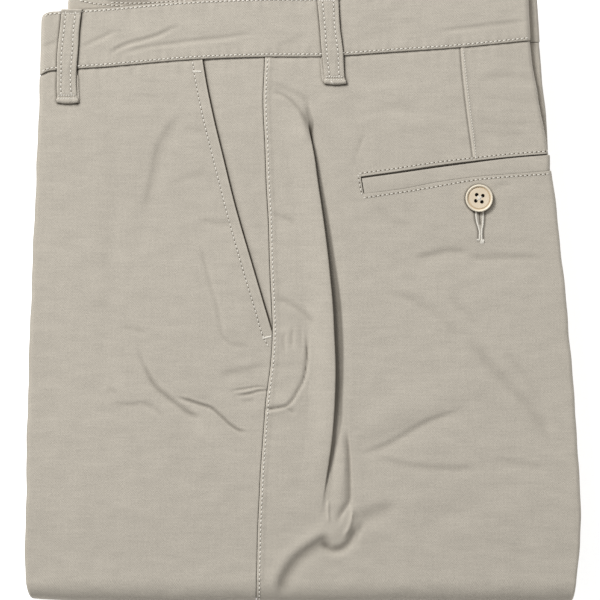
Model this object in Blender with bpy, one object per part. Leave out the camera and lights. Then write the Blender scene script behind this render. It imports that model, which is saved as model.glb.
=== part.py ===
"""Chino trousers, folded flat as they lie on a shelf.

The legs lie crease on crease, the left leg on top. The pair is turned under at the thigh and the
hems are tucked up between, so each leg lies in three runs: on top, on the floor and in the middle.
The left leg's two panels are walls with the garment's own cut: each goes from the side seam round
its crease to the inseam. The right leg, all inside them, is one rounded solid.

Lengths are in millimetres until a mesh is made, which is in metres. X runs from the front crease
to the back crease, Y from the thigh fold to the waist, Z up. `up` is the distance from the outside
of the thigh fold towards the waist, `beyond` the distance along the leg past the start of that
fold, and `depth` the distance from the left leg's outer face into the stack.
"""
import math
from collections import namedtuple

import bpy
import numpy as np

MM = 0.001

# Cloth and stack
WALL = 1.6                       # cloth with its turnings and the air between, as one wall
PLY_GAP = 0.3                    # between the two plies of one leg
GAP = 0.3                        # between two pieces
LAYER = 2 * WALL + PLY_GAP       # one flat leg
RIGHT_DEPTH = LAYER + GAP        # where the right leg's outer face lies in the stack
FOLD_RADIUS = 11.5               # outside of the thigh fold
KNEE_RADIUS = 7.6                # outside of the knee fold
STACK_HEIGHT = 2 * FOLD_RADIUS
KNEE_END = 352.0                 # `up` of the knee fold's outside
HEM_UP = 32.0
TOP_LOFT = 1.5                   # how far the top ply stands off the ply below it
LOFT_FADE = 50.0                 # the loft fades out over this length at the thigh fold
WAIST_LIFT = 2.0                 # the top run rises over the waistband's plies
LIFT_FROM, LIFT_TO = 215.0, 300.0

# Waistband
BAND_HEIGHT = 35.6
BAND_WALL = 1.8
BAND_PROUD = 0.8                 # above the panel that it is sewn to
BAND_RETURN = 75.0               # from a crease in to the centre front or centre back
BAND_CORNER = 2.6                # the crease's rounding at the band's top edge
SEAM_GAP = 0.2                   # each side of the waist seam

# Belt loops
LOOP_WIDTH = 12.2
LOOP_CROWN = 0.15

# Back pocket
WELT_DIP = 1.3                   # the panel is let in under the welt
WELT_WALL = 1.0
SLIT_WIDTH = 0.8
DIP_STEP = 0.5                   # run of the dip's edge on the cloth's face
DIP_INSIDE = 0.9                 # how much wider the dip is on the cloth's inside

# Front pocket
FACING_DROP = 0.8                # the facing lies this far below the slanted edge
FACING_END = 168.0

# Deep fold on the back panel
FOLD_HEIGHT = 3.2

# Button
BUTTON_RADIUS = 8.5
BUTTON_HEIGHT = 2.8
BUTTON_X, BUTTON_UP = 105.5, 240.4
HOLE_RADIUS = 0.95
HOLE_OFFSET = 1.8
BUTTON_SIDES = 36
BUTTON_CLEARANCE = 0.1           # for the hollow under it, where a wave passes

# Where rows are read to find the creases and to start the columns off
FRONT_CREASE_X, BACK_CREASE_X = -157.0, 145.0
MID_BACK_X, MID_FACING_X = 90.0, -42.0

# Colours
TWILL = (0.50, 0.45, 0.37)
BUTTON_HORN = (0.68, 0.60, 0.45)

# How closely the solids follow the cloth
NOSE_ANGLES = np.radians([30, 60, 90, 120, 150])         # round a crease
FRONT_SHARES = np.array(                                 # across the front's upper ply
    [0.0, 0.05, 0.12, 0.20, 0.28, 0.36, 0.44, 0.52, 0.60, 0.68, 0.76, 0.84, 0.91, 0.97])
BACK_SHARES = np.array([0.11, 0.23, 0.35, 0.47, 0.59, 0.71, 0.82, 0.93])  # right of the welt's end
FRONT_ROWS = 31
ROWS_ABOVE, ROWS_WELT, ROWS_BELOW = 7, 2, 25             # above, in and below the welt's dip
RIGHT_ROWS = 22
FACING_ROWS = 13

# The top run: the left leg's creases and side seam, and the line and strength of the deep fold
TopSection = namedtuple("TopSection", "up front seam back fold strength")
TOP_RUN = [
    TopSection(335.0, -157.3, -23.0, 136.0, -4.0, 0.00),
    TopSection(320.0, -157.7, -23.4, 137.8, -5.0, 0.00),
    TopSection(301.0, -158.2, -24.2, 140.9, -4.5, 0.25),
    TopSection(284.0, -158.9, -23.6, 144.3, 2.4, 0.80),
    TopSection(267.0, -159.5, -22.9, 147.0, 6.6, 1.00),
    TopSection(250.0, -160.1, -22.3, 149.8, 9.6, 1.00),
    TopSection(227.0, -160.9, -21.0, 152.7, 12.7, 1.00),
    TopSection(191.0, -162.0, -19.8, 156.1, 17.7, 1.00),
    TopSection(160.0, -163.2, -18.6, 159.1, 19.2, 1.00),
    TopSection(140.0, -164.0, -19.8, 160.9, 19.4, 1.00),
    TopSection(119.0, -164.7, -22.5, 162.3, 19.2, 1.00),
    TopSection(89.0, -165.4, -24.8, 164.4, 16.7, 0.85),
    TopSection(68.0, -165.9, -26.2, 165.9, 12.6, 0.60),
    TopSection(50.0, -166.4, -27.1, 166.9, 10.2, 0.25),
    TopSection(36.0, -166.7, -27.6, 166.4, 8.8, 0.00),
    TopSection(21.0, -166.9, -27.9, 165.0, 8.2, 0.00),
    TopSection(FOLD_RADIUS, -166.6, -28.2, 163.9, 8.0, 0.00),
]

# The rest of the left leg, measured past the start of the thigh fold
LegSection = namedtuple("LegSection", "beyond front seam back")
LEG_RUN = [
    LegSection(0.0, -166.6, -28.2, 163.9),
    LegSection(18.0, -163.6, -28.5, 162.0),
    LegSection(36.0, -162.8, -28.6, 160.8),
    LegSection(369.0, -128.0, -5.0, 118.0),
    LegSection(393.0, -126.0, -5.0, 116.0),
    LegSection(705.0, -108.0, -6.0, 97.0),
]

# Where each panel's lower ply ends: the centre seams at the hips, the inseam below the crotch
InnerEdge = namedtuple("InnerEdge", "up front back")
INNER_EDGES = [
    InnerEdge(335.0, -82.0, 61.0),
    InnerEdge(200.0, -76.0, 58.0),
    InnerEdge(100.0, -28.0, 14.0),
    InnerEdge(60.0, -13.2, -11.6),
    InnerEdge(FOLD_RADIUS, -12.2, -11.8),
]
INSEAM_HALF_GAP = 0.2
INSEAM_OFFSET = 16.2             # from the side seam's line to the inseam's, at the thigh fold

# The right leg's creases under the top run
RightSection = namedtuple("RightSection", "up front back")
RIGHT_RUN = [
    RightSection(334.0, -141.9, 141.0),
    RightSection(314.0, -142.5, 142.8),
    RightSection(302.0, -144.0, 143.7),
    RightSection(287.0, -147.0, 145.7),
    RightSection(277.0, -149.5, 146.4),
    RightSection(256.0, -154.0, 147.5),
    RightSection(227.0, -158.5, 150.5),
    RightSection(191.0, -160.0, 154.0),
    RightSection(119.0, -162.7, 160.2),
    RightSection(50.0, -164.4, 164.8),
    RightSection(FOLD_RADIUS, -164.6, 162.0),
]
RIGHT_INSET = 1.6                # the right leg's creases lie this far inside the left's

# Waist seams, from the front crease to the back crease
WaistPoint = namedtuple("WaistPoint", "x up")
LEFT_WAIST = [
    WaistPoint(-158.0, 315.8), WaistPoint(-119.0, 318.8), WaistPoint(-67.0, 323.2),
    WaistPoint(-24.0, 324.8), WaistPoint(12.0, 325.0), WaistPoint(55.0, 327.8),
    WaistPoint(93.0, 330.4), WaistPoint(137.0, 334.8),
]
RIGHT_WAIST = [WaistPoint(-146.0, 325.4), WaistPoint(0.0, 329.6), WaistPoint(142.0, 333.7)]

# The waistband halves' creases, at the waist seam and at the top edge
BandCreases = namedtuple("BandCreases", "front front_top back back_top")
LEFT_BAND = BandCreases(-157.7, -156.7, 136.3, 134.6)
RIGHT_BAND = BandCreases(-142.3, -141.6, 141.4, 139.2)

# The slanted pocket edge of the left front
SlantPoint = namedtuple("SlantPoint", "up x")
SLANT = [
    SlantPoint(326.0, -60.8), SlantPoint(313.0, -58.8), SlantPoint(288.0, -53.7),
    SlantPoint(264.0, -47.9), SlantPoint(239.0, -41.8), SlantPoint(196.0, -29.4),
    SlantPoint(159.4, -18.6),
]

# The back pocket: the slit above the welt and the seam below it
WeltPoint = namedtuple("WeltPoint", "x slit base")
WELT = [
    WeltPoint(35.0, 253.2, 242.8), WeltPoint(59.4, 256.7, 245.9), WeltPoint(80.7, 259.9, 250.0),
    WeltPoint(102.3, 262.6, 253.0), WeltPoint(123.9, 265.0, 254.8), WeltPoint(148.0, 267.0, 256.7),
]

# The deep fold across its line: where the cloth's face and inside lie, and the share of its height
FoldColumn = namedtuple("FoldColumn", "face inside height")
FOLD_COLUMNS = [
    FoldColumn(-14.0, -14.0, 0.35),
    FoldColumn(-7.0, -7.6, 0.80),
    FoldColumn(-3.0, -4.2, 1.00),
    FoldColumn(-0.8, -2.5, 0.94),
    FoldColumn(0.9, -0.7, -0.28),
    FoldColumn(3.5, 3.2, -0.20),
    FoldColumn(8.0, 8.0, 0.00),
]

WELT_COLUMN = len(FOLD_COLUMNS) + 4                      # of the back's columns, at the welt's end

# Broad soft waves in the top ply
Wave = namedtuple("Wave", "x up angle length width height")
WAVES = [
    Wave(8.0, 33.0, 35.0, 26.0, 7.0, 1.4),        # lower end of the deep fold
    Wave(31.0, 80.0, 88.0, 21.0, 6.0, 1.2),       # second fold beside it
    Wave(63.0, 99.0, 22.0, 34.0, 8.0, -0.7),      # drag towards the crotch
    Wave(62.0, 113.0, 20.0, 36.0, 9.0, 0.6),
    Wave(-40.0, 176.0, 100.0, 26.0, 14.0, 0.7),   # edge of the pocket bag
    Wave(-68.0, 118.0, -36.0, 42.0, 9.0, -0.6),
    Wave(-78.0, 104.0, -36.0, 40.0, 9.0, 0.6),
    Wave(105.0, 205.0, 2.0, 45.0, 9.0, -0.5),     # under the back pocket
    Wave(2.0, 155.0, 95.0, 26.0, 6.0, -0.6),      # between the side seam and the deep fold
    Wave(-12.0, 117.0, 10.0, 14.0, 6.0, 0.6),
]

# A belt loop's centre line, from the band's top edge down
LoopPoint = namedtuple("LoopPoint", "up x")
LOOPS = {
    "belt_loop_front_left": [
        LoopPoint(353.9, -138.9), LoopPoint(336.4, -140.6), LoopPoint(320.0, -141.9),
        LoopPoint(307.6, -141.9), LoopPoint(297.4, -140.9),
    ],
    "belt_loop_side_left": [
        LoopPoint(361.0, 14.4), LoopPoint(335.2, 16.9), LoopPoint(325.0, 17.7),
        LoopPoint(311.8, 19.1), LoopPoint(305.0, 19.6),
    ],
    "belt_loop_front_right": [LoopPoint(361.6, -124.0), LoopPoint(306.0, -124.0)],
    "belt_loop_side_right": [LoopPoint(365.6, 20.0), LoopPoint(310.0, 20.0)],
}

# A belt loop along its length: the share passed, its height off the panel and its thickness
LoopSection = namedtuple("LoopSection", "share rise wall")
LOOP_SECTIONS = [
    LoopSection(0.00, 1.1, 1.1), LoopSection(0.06, 1.1, 1.1), LoopSection(0.33, 1.1, 1.1),
    LoopSection(0.64, 1.1, 1.1), LoopSection(0.74, 0.8, 1.1), LoopSection(0.88, 0.4, 1.1),
    LoopSection(0.92, 0.3, 1.3), LoopSection(0.935, 0.3, 1.8), LoopSection(0.98, 0.3, 1.8),
    LoopSection(1.00, 0.3, 1.0),
]

# The button's turned profile, from the middle of its face round to the middle of its back
ProfilePoint = namedtuple("ProfilePoint", "share_radius share_height")
BUTTON_PROFILE = [
    ProfilePoint(0.00, 0.66), ProfilePoint(0.66, 0.66), ProfilePoint(0.74, 0.76),
    ProfilePoint(0.82, 0.95), ProfilePoint(0.90, 1.00), ProfilePoint(0.97, 0.90),
    ProfilePoint(1.00, 0.70), ProfilePoint(0.97, 0.40), ProfilePoint(0.80, 0.08),
    ProfilePoint(0.60, 0.00), ProfilePoint(0.00, 0.00),
]

KNEE_UP = KNEE_END - KNEE_RADIUS
THIGH_ARC = math.pi * FOLD_RADIUS
FLOOR_RUN = KNEE_UP - FOLD_RADIUS
KNEE_ARC = math.pi * KNEE_RADIUS
PANEL_TOP = STACK_HEIGHT + WAIST_LIFT + TOP_LOFT
RIGHT_BOTTOM = STACK_HEIGHT + WAIST_LIFT - RIGHT_DEPTH - LAYER
LEG_END = THIGH_ARC + FLOOR_RUN + KNEE_ARC + KNEE_UP - HEM_UP


def smooth(table, name, at):
    """Read a column of a table as a cubic curve over the table's first column."""
    rows = sorted(table)
    known = np.array([row[0] for row in rows])
    value = np.array([getattr(row, name) for row in rows])
    slope = np.gradient(value, known)
    at = np.clip(at, known[0], known[-1])
    low = np.clip(np.searchsorted(known, at) - 1, 0, len(known) - 2)
    span = known[low + 1] - known[low]
    t = (at - known[low]) / span
    ends = (1 + 2 * t) * (1 - t) ** 2 * value[low] + t * t * (3 - 2 * t) * value[low + 1]
    slopes = t * (1 - t) ** 2 * slope[low] + t * t * (t - 1) * slope[low + 1]
    return ends + span * slopes


def straight(table, name, at):
    """Read a column of a table as straight stretches over the table's first column."""
    rows = sorted(table)
    return np.interp(at, [row[0] for row in rows], [getattr(row, name) for row in rows])


def ease(t):
    """Go from 0 to 1 with flat ends."""
    t = np.clip(t, 0.0, 1.0)
    return t * t * (3 - 2 * t)


def waist_lift(up):
    """How far the top run rises towards the waistband."""
    return WAIST_LIFT * ease((up - LIFT_FROM) / (LIFT_TO - LIFT_FROM))


def top_loft(up):
    """How far the top ply stands off the one below it."""
    return TOP_LOFT * ease((up - FOLD_RADIUS) / LOFT_FADE)


def wave_height(x, up):
    """Add up the broad waves, each a smooth hump or hollow longer than it is wide."""
    total = np.zeros_like(x)
    for wave in WAVES:
        turn = math.radians(wave.angle)
        along = (x - wave.x) * math.cos(turn) + (up - wave.up) * math.sin(turn)
        across = (up - wave.up) * math.cos(turn) - (x - wave.x) * math.sin(turn)
        total += wave.height * np.exp(-(along / wave.length) ** 2 - (across / wave.width) ** 2)
    return total


def on_top_run(x, up, depth):
    """Place points of a leg above the thigh fold."""
    return np.stack([x, up, STACK_HEIGHT + waist_lift(up) - depth], axis=-1)


def past_the_fold(x, beyond, depth):
    """Place points of a leg past the start of the thigh fold."""
    if beyond < THIGH_ARC:
        turn = beyond / FOLD_RADIUS
        reach = FOLD_RADIUS - depth
        up, z = FOLD_RADIUS - reach * math.sin(turn), FOLD_RADIUS + reach * math.cos(turn)
    elif beyond < THIGH_ARC + FLOOR_RUN:
        up, z = FOLD_RADIUS + beyond - THIGH_ARC + 0 * depth, depth
    elif beyond < THIGH_ARC + FLOOR_RUN + KNEE_ARC:
        turn = (beyond - THIGH_ARC - FLOOR_RUN) / KNEE_RADIUS
        reach = KNEE_RADIUS - depth
        up, z = KNEE_UP + reach * math.sin(turn), KNEE_RADIUS - reach * math.cos(turn)
    else:
        back_down = beyond - THIGH_ARC - FLOOR_RUN - KNEE_ARC
        up, z = KNEE_UP - back_down + 0 * depth, 2 * KNEE_RADIUS - depth
    return np.stack([x, up, z], axis=-1)


def leg_stations():
    """List the sections past the fold: both bends closely, the straight runs widely."""
    thigh = [THIGH_ARC * i / 8 for i in range(1, 8)]
    floor = [THIGH_ARC + FLOOR_RUN * i / 5 for i in range(6)]
    knee = [THIGH_ARC + FLOOR_RUN + KNEE_ARC * i / 6 for i in range(1, 7)]
    middle_start = knee[-1]
    middle = [middle_start + (LEG_END - middle_start) * i / 3 for i in range(1, 4)]
    return thigh + floor + knee + middle


def panel_section(side, nose_x, ply_x, ply_rise, inner_x, loft, inside, dip=0.0):
    """One section of a panel: the upper ply, round the crease, the lower ply.

    The crease bulges towards `side`, -1 for the front and 1 for the back. `inside` gives the
    cloth's inner face. `dip` lets the upper half of the crease in, for the welt.
    """
    wall = WALL if inside else 0.0
    radius = (LAYER + loft) / 2
    start_x = nose_x - side * radius
    middle = (LAYER - loft) / 2
    let_in = np.where(NOSE_ANGLES < math.radians(100), dip, 0.0)
    reach = radius - wall - let_in
    bulge_x = start_x + side * reach * np.sin(NOSE_ANGLES)
    bulge_depth = middle - reach * np.cos(NOSE_ANGLES)
    lower_x = start_x + (inner_x - start_x) * np.array([0.0, 0.5, 1.0])
    x = np.concatenate([ply_x, [start_x], bulge_x, lower_x])
    depth = np.concatenate([
        wall - loft - ply_rise, [wall - loft + dip], bulge_depth, np.full(3, LAYER - wall)])
    return x, depth


def front_row(x, share):
    """`up` along a row of the left front, which eases from the waist seam to the thigh fold."""
    waist = smooth(LEFT_WAIST, "up", x) - SEAM_GAP
    return waist + (FOLD_RADIUS - waist) * share


def front_ply_x(up):
    """The front's upper ply, from its pocket edge or the side seam to just before the crease."""
    slant = smooth(SLANT, "x", up)
    seam = smooth(TOP_RUN, "seam", up)
    edge = np.where(up > SLANT[-1].up, slant, seam) - GAP / 2
    crease = smooth(TOP_RUN, "front", up) + (LAYER + top_loft(up)) / 2
    return edge + (crease - edge) * FRONT_SHARES


def front_grid(inside):
    """The left front's face or inside, as rows of points from the waist to the hem."""
    rows = []
    for i in range(FRONT_ROWS + 1):
        share = i / FRONT_ROWS
        crease_up = front_row(FRONT_CREASE_X, share)
        up = np.full(len(FRONT_SHARES), crease_up)
        for _ in range(3):
            ply_x = front_ply_x(up)
            up = front_row(ply_x, share)
        loft = float(top_loft(crease_up))
        inner_x = float(straight(INNER_EDGES, "front", crease_up)) - INSEAM_HALF_GAP
        nose_x = float(smooth(TOP_RUN, "front", crease_up))
        x, depth = panel_section(
            -1, nose_x, ply_x, wave_height(ply_x, up), inner_x, loft, inside)
        rows.append(on_top_run(x, front_row(x, share), depth))
    at_fold = front_ply_x(np.full(len(FRONT_SHARES), FOLD_RADIUS))
    rows += leg_rows(-1, at_fold, inside)
    return np.array(rows)


def leg_rows(side, ply_at_fold, inside):
    """A panel's rows past the thigh fold, its columns closing in as the leg narrows."""
    name = "front" if side < 0 else "back"
    seam_at_fold = LEG_RUN[0].seam
    width_at_fold = getattr(LEG_RUN[0], name) - seam_at_fold
    shares = (ply_at_fold - seam_at_fold) / width_at_fold
    rows = []
    for beyond in leg_stations():
        seam = float(straight(LEG_RUN, "seam", beyond))
        crease = float(straight(LEG_RUN, name, beyond))
        ply_x = seam + shares * (crease - seam)
        ply_x[0] = seam + side * GAP / 2
        inner_x = seam + side * INSEAM_HALF_GAP + INSEAM_OFFSET * taper(beyond)
        x, depth = panel_section(
            side, crease, ply_x, np.zeros(len(ply_x)), inner_x, 0.0, inside)
        rows.append(past_the_fold(x, beyond, depth))
    return rows


def taper(beyond):
    """Share of the inseam's offset that is left as the leg narrows to the knee."""
    return float(np.clip(1 - beyond / (THIGH_ARC + FLOOR_RUN), 0.0, 1.0))


def back_row(x, key, inside):
    """`up` along a row of the left back; the cloth's inside is let in a little wider."""
    waist = smooth(LEFT_WAIST, "up", x) - SEAM_GAP
    slit = smooth(WELT, "slit", x)
    base = smooth(WELT, "base", x)
    widen = DIP_INSIDE if inside else 0.0
    stretch, t = key
    if stretch == "above":
        return waist + (slit + widen - waist) * t
    if stretch == "welt":
        top, bottom = slit + widen - DIP_STEP, base - widen + DIP_STEP
        return top + (bottom - top) * t
    start = base - widen
    return start + (FOLD_RADIUS - start) * t


def back_row_keys():
    """Name each row of the left back: the stretch that it lies in and the share of it passed."""
    keys = [("above", i / ROWS_ABOVE) for i in range(ROWS_ABOVE + 1)]
    keys += [("welt", i / ROWS_WELT) for i in range(ROWS_WELT + 1)]
    keys += [("below", i / ROWS_BELOW) for i in range(ROWS_BELOW + 1)]
    return keys


def back_ply_x(up, inside):
    """The back's upper ply: side seam, deep fold, welt end, then evenly to the crease."""
    seam = smooth(TOP_RUN, "seam", up) + GAP / 2
    fold = smooth(TOP_RUN, "fold", up)
    crease = smooth(TOP_RUN, "back", up) - (LAYER + top_loft(up)) / 2
    offsets = np.array([row.inside if inside else row.face for row in FOLD_COLUMNS])
    widen = DIP_INSIDE if inside else 0.0
    count = len(offsets)
    x = np.empty_like(up)
    x[0] = seam[0]
    x[1] = (seam[1] + fold[1] + offsets[0]) / 2
    x[2:2 + count] = fold[2:2 + count] + offsets
    x[3 + count] = WELT[0].x - DIP_STEP - widen
    x[2 + count] = (x[1 + count] + x[3 + count]) / 2
    x[4 + count] = WELT[0].x - widen
    rest = slice(5 + count, None)
    x[rest] = WELT[0].x + (crease[rest] - WELT[0].x) * BACK_SHARES
    return x


def back_grid(inside):
    """The left back's face or inside, as rows of points from the waist to the hem."""
    columns = WELT_COLUMN + 1 + len(BACK_SHARES)
    fold_height = np.zeros(columns)
    fold_height[1] = 0.1
    fold_height[2:2 + len(FOLD_COLUMNS)] = [row.height for row in FOLD_COLUMNS]
    rows = []
    for key in back_row_keys():
        up = np.full(columns, float(back_row(MID_BACK_X, key, inside)))
        for _ in range(3):
            ply_x = back_ply_x(up, inside)
            up = back_row(ply_x, key, inside)
        rise = FOLD_HEIGHT * smooth(TOP_RUN, "strength", up) * fold_height
        rise = rise + wave_height(ply_x, up)
        dip = WELT_DIP if key[0] == "welt" else 0.0
        rise[WELT_COLUMN:] -= dip
        crease_up = float(back_row(BACK_CREASE_X, key, inside))
        loft = float(top_loft(crease_up))
        inner_x = float(straight(INNER_EDGES, "back", crease_up)) + INSEAM_HALF_GAP
        nose_x = float(smooth(TOP_RUN, "back", crease_up))
        x, depth = panel_section(1, nose_x, ply_x, rise, inner_x, loft, inside, dip)
        rows.append(on_top_run(x, back_row(x, key, inside), depth))
    at_fold = back_ply_x(np.full(columns, FOLD_RADIUS), inside)
    rows += leg_rows(1, at_fold, inside)
    return np.array(rows)


def normals(grid):
    """Unit normals of a grid of points, rows crossed with columns."""
    along = np.gradient(grid, axis=0)
    across = np.gradient(grid, axis=1)
    normal = np.cross(along, across)
    return normal / np.linalg.norm(normal, axis=-1, keepdims=True)


def between(grid, near, far, share):
    """A row of points part of the way from one row of a grid to another."""
    return grid[near] + (grid[far] - grid[near]) * share


def sheet_solid(name, face, inside, colour, roughness=0.9):
    """Close two matching grids, a sheet's face and its inside, into one solid object."""
    rows, columns = face.shape[:2]
    points = np.concatenate([face.reshape(-1, 3), inside.reshape(-1, 3)])
    index = np.arange(rows * columns).reshape(rows, columns)
    back = index + rows * columns
    quads = [
        (index[:-1, :-1], index[1:, :-1], index[1:, 1:], index[:-1, 1:]),
        (back[:-1, :-1], back[:-1, 1:], back[1:, 1:], back[1:, :-1]),
        (index[:-1, 0], back[:-1, 0], back[1:, 0], index[1:, 0]),
        (index[1:, -1], back[1:, -1], back[:-1, -1], index[:-1, -1]),
        (index[0, 1:], back[0, 1:], back[0, :-1], index[0, :-1]),
        (index[-1, :-1], back[-1, :-1], back[-1, 1:], index[-1, 1:]),
    ]
    faces = np.concatenate([np.stack([c.ravel() for c in quad], axis=-1) for quad in quads])
    return solid_object(name, points, faces.tolist(), colour, roughness)


def solid_object(name, points, faces, colour, roughness):
    """Make a named object from points in millimetres, facing outwards, with its material."""
    volume = sum(float(np.dot(points[f[0]], np.cross(points[f[i]], points[f[i + 1]])))
                 for f in faces for i in range(1, len(f) - 1))
    if volume < 0:
        faces = [f[::-1] for f in faces]
    mesh = bpy.data.meshes.new(name)
    mesh.from_pydata((points * MM).tolist(), [], faces)
    mesh.materials.append(plain_material(name, colour, roughness))
    mesh.shade_smooth()
    mesh.set_sharp_from_angle(angle=math.radians(40))
    piece = bpy.data.objects.new(name, mesh)
    bpy.context.scene.collection.objects.link(piece)
    return piece


def plain_material(name, colour, roughness):
    """A plain finish in the piece's own colour."""
    material = bpy.data.materials.new(name)
    material.use_nodes = True
    shader = material.node_tree.nodes["Principled BSDF"]
    shader.inputs["Base Color"].default_value = (*colour, 1.0)
    shader.inputs["Roughness"].default_value = roughness
    shader.inputs["Metallic"].default_value = 0.0
    return material


def make_panels():
    """The left front and the left back; the back's face is returned for what is sewn on it."""
    sheet_solid("front_left", front_grid(False), front_grid(True), TWILL)
    back_face = back_grid(False)
    sheet_solid("back_left", back_face, back_grid(True), TWILL)
    return back_face


def make_pocket_facing():
    """The cloth behind the slanted pocket: between its edge and the side seam."""
    across = np.array([0.0, 0.5, 1.0])
    grids = []
    for wall in (0.0, WALL):
        rows = []
        for i in range(FACING_ROWS + 1):
            share = i / FACING_ROWS
            x = np.full(len(across), MID_FACING_X)
            for _ in range(3):
                waist = smooth(LEFT_WAIST, "up", x) - SEAM_GAP
                up = waist + (FACING_END - waist) * share
                left = smooth(SLANT, "x", up) + GAP / 2
                right = smooth(TOP_RUN, "seam", up) - GAP / 2
                x = left + (right - left) * across
            depth = wall + FACING_DROP - top_loft(up) - wave_height(x, up)
            rows.append(on_top_run(x, up, depth))
        grids.append(np.array(rows))
    sheet_solid("pocket_facing", grids[0], grids[1], TWILL)


def make_pocket_welt(back_face):
    """The welt lies in the back panel's dip and is made from its points, moved out."""
    first = ROWS_ABOVE + 1
    last = first + ROWS_WELT
    nose_columns = 5
    last_column = WELT_COLUMN + len(BACK_SHARES) + nose_columns
    outward = normals(back_face)
    height = np.linalg.norm(back_face[last, WELT_COLUMN] - back_face[first, WELT_COLUMN])
    shares = [SLIT_WIDTH / height, 0.5, 1 - GAP / height]
    rows, row_normals = [], []
    for share in shares:
        rows.append(between(back_face, first, last, share))
        row_normals.append(outward[first + 1])
    base = np.array(rows)[:, WELT_COLUMN:last_column]
    out = np.array(row_normals)[:, WELT_COLUMN:last_column]
    base[:, 0, 0] += GAP
    out[:, 0] = out[:, 1]
    inside = base + out * GAP
    sheet_solid("pocket_welt", inside + out * WELT_WALL, inside, TWILL)


def right_section(front, back, sign):
    """Half a section of the right leg, its upper side for a sign of 1, its lower for -1."""
    edge_angles = np.radians([75, 50, 25])
    radius = LAYER / 2
    left = front + radius - radius * np.sin(edge_angles)
    right = back - radius + radius * np.sin(edge_angles[::-1])
    flat = np.linspace(front + radius, back - radius, 4)
    rise = radius * np.cos(edge_angles)
    level = np.concatenate([rise, np.full(len(flat), radius), rise[::-1]])
    return np.concatenate([left, flat, right]), RIGHT_DEPTH + radius - sign * level


def make_right_leg():
    """The hidden right leg: one rounded solid that follows the left leg's folds inside it."""
    grids = []
    for sign in (1, -1):
        rows = []
        for share in np.linspace(0.0, 1.0, RIGHT_ROWS):
            x, depth = right_section(RIGHT_BAND.front, RIGHT_BAND.back, sign)
            for _ in range(2):
                waist = smooth(RIGHT_WAIST, "up", x) - SEAM_GAP
                up = waist + (FOLD_RADIUS - waist) * share
                front = float(smooth(RIGHT_RUN, "front", up[0]))
                back = float(smooth(RIGHT_RUN, "back", up[-1]))
                x, depth = right_section(front, back, sign)
            rows.append(on_top_run(x, up, depth))
        for beyond in leg_stations():
            front = float(straight(LEG_RUN, "front", beyond)) + RIGHT_INSET
            back = float(straight(LEG_RUN, "back", beyond)) - RIGHT_INSET
            x, depth = right_section(front, back, sign)
            rows.append(past_the_fold(x, beyond, depth))
        grids.append(np.array(rows))
    sheet_solid("right_leg", grids[0], grids[1], TWILL)


def band_section(front, back, face_z, back_z, wall):
    """A waistband half across its width: return, crease, outer ply, crease, return."""
    away = 1.0 if face_z > back_z else -1.0
    radius = abs(face_z - back_z) / 2
    middle = (face_z + back_z) / 2
    angles = np.concatenate([[math.pi], NOSE_ANGLES[::-1], [0.0]])
    reach = radius - wall
    left_x = front + radius - reach * np.sin(angles)
    right_x = back - radius + reach * np.sin(angles[::-1])
    nose_z = middle + away * reach * np.cos(angles)
    ply_x = np.linspace(front + radius, back - radius, 20)[1:-1]
    x = np.concatenate([[front + BAND_RETURN], left_x, ply_x, right_x, [back - BAND_RETURN]])
    level = np.full(len(ply_x), face_z - away * wall)
    end_z = [back_z + away * wall]
    z = np.concatenate([end_z, nose_z, level, nose_z[::-1], end_z])
    return x, z


def make_waistband(name, waist, creases, face_z, back_z):
    """One half of the waistband, folded at both creases, standing on its waist seam."""
    grids = []
    for wall in (0.0, BAND_WALL):
        rows = []
        for share, corner in ((0.0, 0.0), (0.5, 0.0), (0.93, 0.12), (1.0, 1.0)):
            front = creases.front + (creases.front_top - creases.front) * share
            back = creases.back + (creases.back_top - creases.back) * share
            rounding = BAND_CORNER * corner
            x, z = band_section(front + rounding, back, face_z, back_z, wall)
            up = smooth(waist, "up", x) + SEAM_GAP + (BAND_HEIGHT - SEAM_GAP) * share
            rows.append(np.stack([x, up, z], axis=-1))
        grids.append(np.array(rows))
    sheet_solid(name, grids[0], grids[1], TWILL)


def make_waistbands():
    """Both halves: the left one's outer ply on top, the right one's underneath."""
    make_waistband(
        "waistband_left", LEFT_WAIST, LEFT_BAND,
        PANEL_TOP + BAND_PROUD, STACK_HEIGHT + WAIST_LIFT - LAYER)
    make_waistband(
        "waistband_right", RIGHT_WAIST, RIGHT_BAND,
        RIGHT_BOTTOM - BAND_PROUD, STACK_HEIGHT + WAIST_LIFT - RIGHT_DEPTH)


def make_belt_loop(name, line, panel_z, away):
    """A strip over the waistband, stitched above it and turned in under its lower end."""
    across = np.array([-0.5, -0.25, 0.0, 0.25, 0.5])
    crown = LOOP_CROWN * (1 - (2 * across) ** 2)
    top, bottom = line[0].up, line[-1].up
    grids = []
    for outer in (1.0, 0.0):
        rows = []
        for section in LOOP_SECTIONS:
            up = top + (bottom - top) * section.share
            middle = float(smooth(line, "x", up))
            rise = section.rise + outer * (section.wall - LOOP_CROWN + crown)
            x = middle + LOOP_WIDTH * across
            rows.append(np.stack([x, np.full(5, up), panel_z + away * rise], axis=-1))
        grids.append(np.array(rows))
    sheet_solid(name, grids[0], grids[1], TWILL)


def make_belt_loops():
    """Two loops on each half, those of the right half on its underside."""
    for name, line in LOOPS.items():
        if name.endswith("left"):
            make_belt_loop(name, line, PANEL_TOP, 1.0)
        else:
            make_belt_loop(name, line, RIGHT_BOTTOM, -1.0)


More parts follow.
